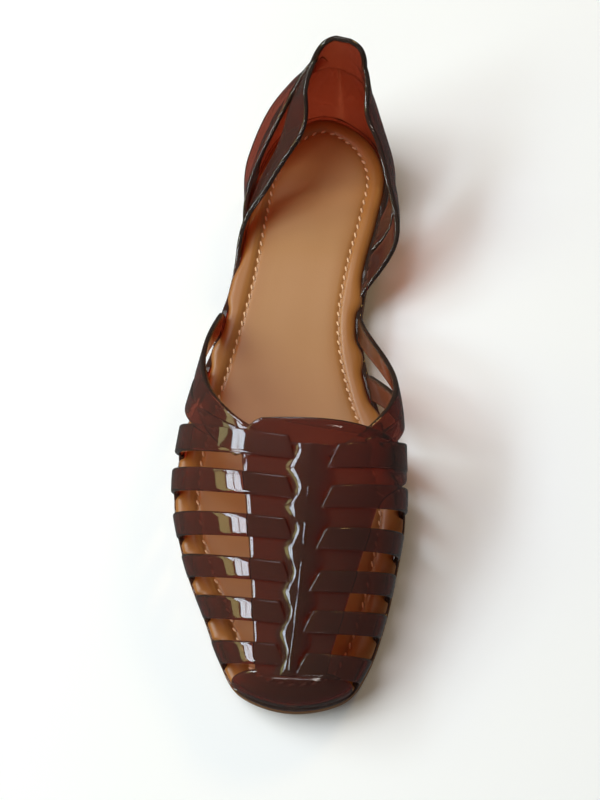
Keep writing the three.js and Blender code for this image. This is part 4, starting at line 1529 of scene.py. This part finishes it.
class SANDAL_OT_stage(bpy.types.Operator):
    """Sets up the floor, the soft studio lights and the camera at the photo's angle"""

    bl_idname = "sandal.stage"
    bl_label = "Set up the stage"

    # The photo's camera in millimetres from the toe tip, and the lean of the shoe's axis.
    PHOTO_CAMERA = (33.17, -82.36, 464.94)
    AIM = (-4.0, 112.0, 20.0)
    LEAN = math.radians(4.4)
    SENSOR = 36
    LENS = 58

    FLOOR_HALF = 3.0

    # The world's brightness as a light, and as the camera sees it.
    LIT, SEEN = 0.09, 0.95

    # Panels that face the shoe: name, place, width and height, power and tint.
    PANELS = (
        ("garden_front", (-1.5, -0.5, 0.87), (0.8, 0.3), 2.8, (0.8, 0.78, 0.3)),
        ("garden_back", (-1.5, 0.4, 0.87), (0.8, 0.3), 2.8, (0.75, 0.78, 0.35)),
        ("warm_back", (0.8, 1.3, 1.2), (0.34, 0.3), 4.5, (1.0, 0.66, 0.22)),
        ("thin_front", (0.1, -1.5, 1.0), (1.3, 0.05), 2.0, (1.0, 0.93, 0.85)),
        ("ceiling", (-0.35, 0.5, 1.5), (0.7, 0.7), 3.8, (0.95, 0.98, 1.0)),
        ("soft_top", (-1.1, 0.3, 2.1), (1.5, 1.5), 23.0, (1.0, 0.985, 1.0)),
    )

    # Two rows of three window panes on the left, and each pane's size, power and tint.
    PANE_X = -1.3
    PANE_ROWS = (1.1, 1.31)
    PANE_COLUMNS = (-0.62, 0.05, 0.72)
    PANE = ((0.6, 0.14), 3.6, (0.8, 0.92, 1.0))

    def execute(self, context):
        scene = context.scene
        last = Last(scene.sandal_sizes)
        shift = place_in_frame(last)
        floor = bpy.data.meshes.new("floor")
        half = self.FLOOR_HALF
        corners = [(-half, -half, 0), (half, -half, 0), (half, half, 0), (-half, half, 0)]
        floor.from_pydata(corners, [], [(0, 1, 2, 3)])
        material, output = new_material("pale studio floor")
        body = node(
            material.node_tree, "ShaderNodeBsdfPrincipled",
            {"Base Color": scene.sandal_colours.floor, "Roughness": 0.8, "Specular IOR Level": 0.2},
        )
        material.node_tree.links.new(body.outputs[0], output.inputs["Surface"])
        ground = show("studio_floor", floor, material)
        ground.visible_glossy = False
        self.lights()
        world = bpy.data.worlds.new("pale studio")
        world.use_nodes = True
        tree = world.node_tree
        backdrop = node(tree, "ShaderNodeMapRange", {"To Min": self.LIT, "To Max": self.SEEN})
        seen = node(tree, "ShaderNodeLightPath")
        tree.links.new(seen.outputs["Is Camera Ray"], backdrop.inputs["Value"])
        tree.nodes["Background"].inputs["Color"].default_value = (1, 0.99, 0.98, 1)
        tree.links.new(backdrop.outputs[0], tree.nodes["Background"].inputs["Strength"])
        scene.world = world
        scene.view_settings.view_transform = "Standard"
        self.camera(scene, shift)
        return {"FINISHED"}

    def lights(self):
        """Soft panels all round and window panes on the left, to be seen in the gloss. The
        soft top one only fills in, and doesn't show in reflections."""
        panels = list(self.PANELS)
        for row, height in enumerate(self.PANE_ROWS):
            for column, y in enumerate(self.PANE_COLUMNS):
                panels.append((f"window_{row}_{column}", (self.PANE_X, y, height), *self.PANE))
        for name, at, span, power, tint in panels:
            data = bpy.data.lights.new(name, "AREA")
            data.shape = "RECTANGLE"
            data.size, data.size_y = span
            data.energy = power
            data.color = tint
            lamp = bpy.data.objects.new(name, data)
            bpy.context.scene.collection.objects.link(lamp)
            lamp.location = at
            lamp.rotation_euler = (-Vector(at)).to_track_quat("-Z", "Y").to_euler()
            lamp.visible_glossy = name != "soft_top"

    def camera(self, scene, shift):
        """The photo's viewpoint, turned to the shoe, with the lens of a closer crop."""
        at = Vector(self.PHOTO_CAMERA) * MM + shift
        aim = Vector(self.AIM) * MM + shift
        data = bpy.data.cameras.new("photo_camera")
        data.sensor_width = self.SENSOR
        data.lens = self.LENS
        back = (at - aim).normalized()
        up = Vector((0, 1, 0))
        up = (up - back * up.dot(back)).normalized()
        right = up.cross(back)
        turn = Matrix((right, up, back)).transposed()
        turn = turn @ Matrix.Rotation(self.LEAN, 3, "Z")
        made = bpy.data.objects.new("photo_camera", data)
        scene.collection.objects.link(made)
        made.matrix_world = Matrix.Translation(at) @ turn.to_4x4()
        data.clip_start = 0.01
        scene.camera = made


class SANDAL_PT_panel(bpy.types.Panel):
    """The sandal's sizes, colours and builders"""

    bl_idname = "SANDAL_PT_panel"
    bl_label = "Huarache sandal"
    bl_space_type = "VIEW_3D"
    bl_region_type = "UI"
    bl_category = "Sandal"

    def draw(self, context):
        for name in GROUPS:
            group = getattr(context.scene, name)
            box = self.layout.box()
            box.label(text=group.bl_rna.name)
            for key in group.__annotations__:
                box.prop(group, key)
        for operator in OPERATORS:
            self.layout.operator(operator.bl_idname)


GROUPS = {
    "sandal_sizes": SandalSizes,
    "upper_sizes": UpperSizes,
    "stitch_sizes": StitchSizes,
    "tread_sizes": TreadSizes,
    "sandal_colours": SandalColours,
}
OPERATORS = (
    SANDAL_OT_upper,
    SANDAL_OT_insole,
    SANDAL_OT_stitches,
    SANDAL_OT_outsole,
    SANDAL_OT_tread,
    SANDAL_OT_heel,
    SANDAL_OT_stage,
)


def register():
    """Adds the classes and the scene's property groups."""
    for made in (*GROUPS.values(), *OPERATORS, SANDAL_PT_panel):
        bpy.utils.register_class(made)
    for name, group in GROUPS.items():
        setattr(bpy.types.Scene, name, bpy.props.PointerProperty(type=group))


def unregister():
    """Removes what register added."""
    for name in GROUPS:
        delattr(bpy.types.Scene, name)
    for made in (SANDAL_PT_panel, *reversed(OPERATORS), *reversed(GROUPS.values())):
        bpy.utils.unregister_class(made)


def main():
    """Builds every piece and the stage."""
    register()
    bpy.ops.sandal.upper()
    bpy.ops.sandal.insole()
    bpy.ops.sandal.stitches()
    bpy.ops.sandal.outsole()
    bpy.ops.sandal.tread()
    bpy.ops.sandal.heel()
    bpy.ops.sandal.stage()


if __name__ == "__main__":
    main()
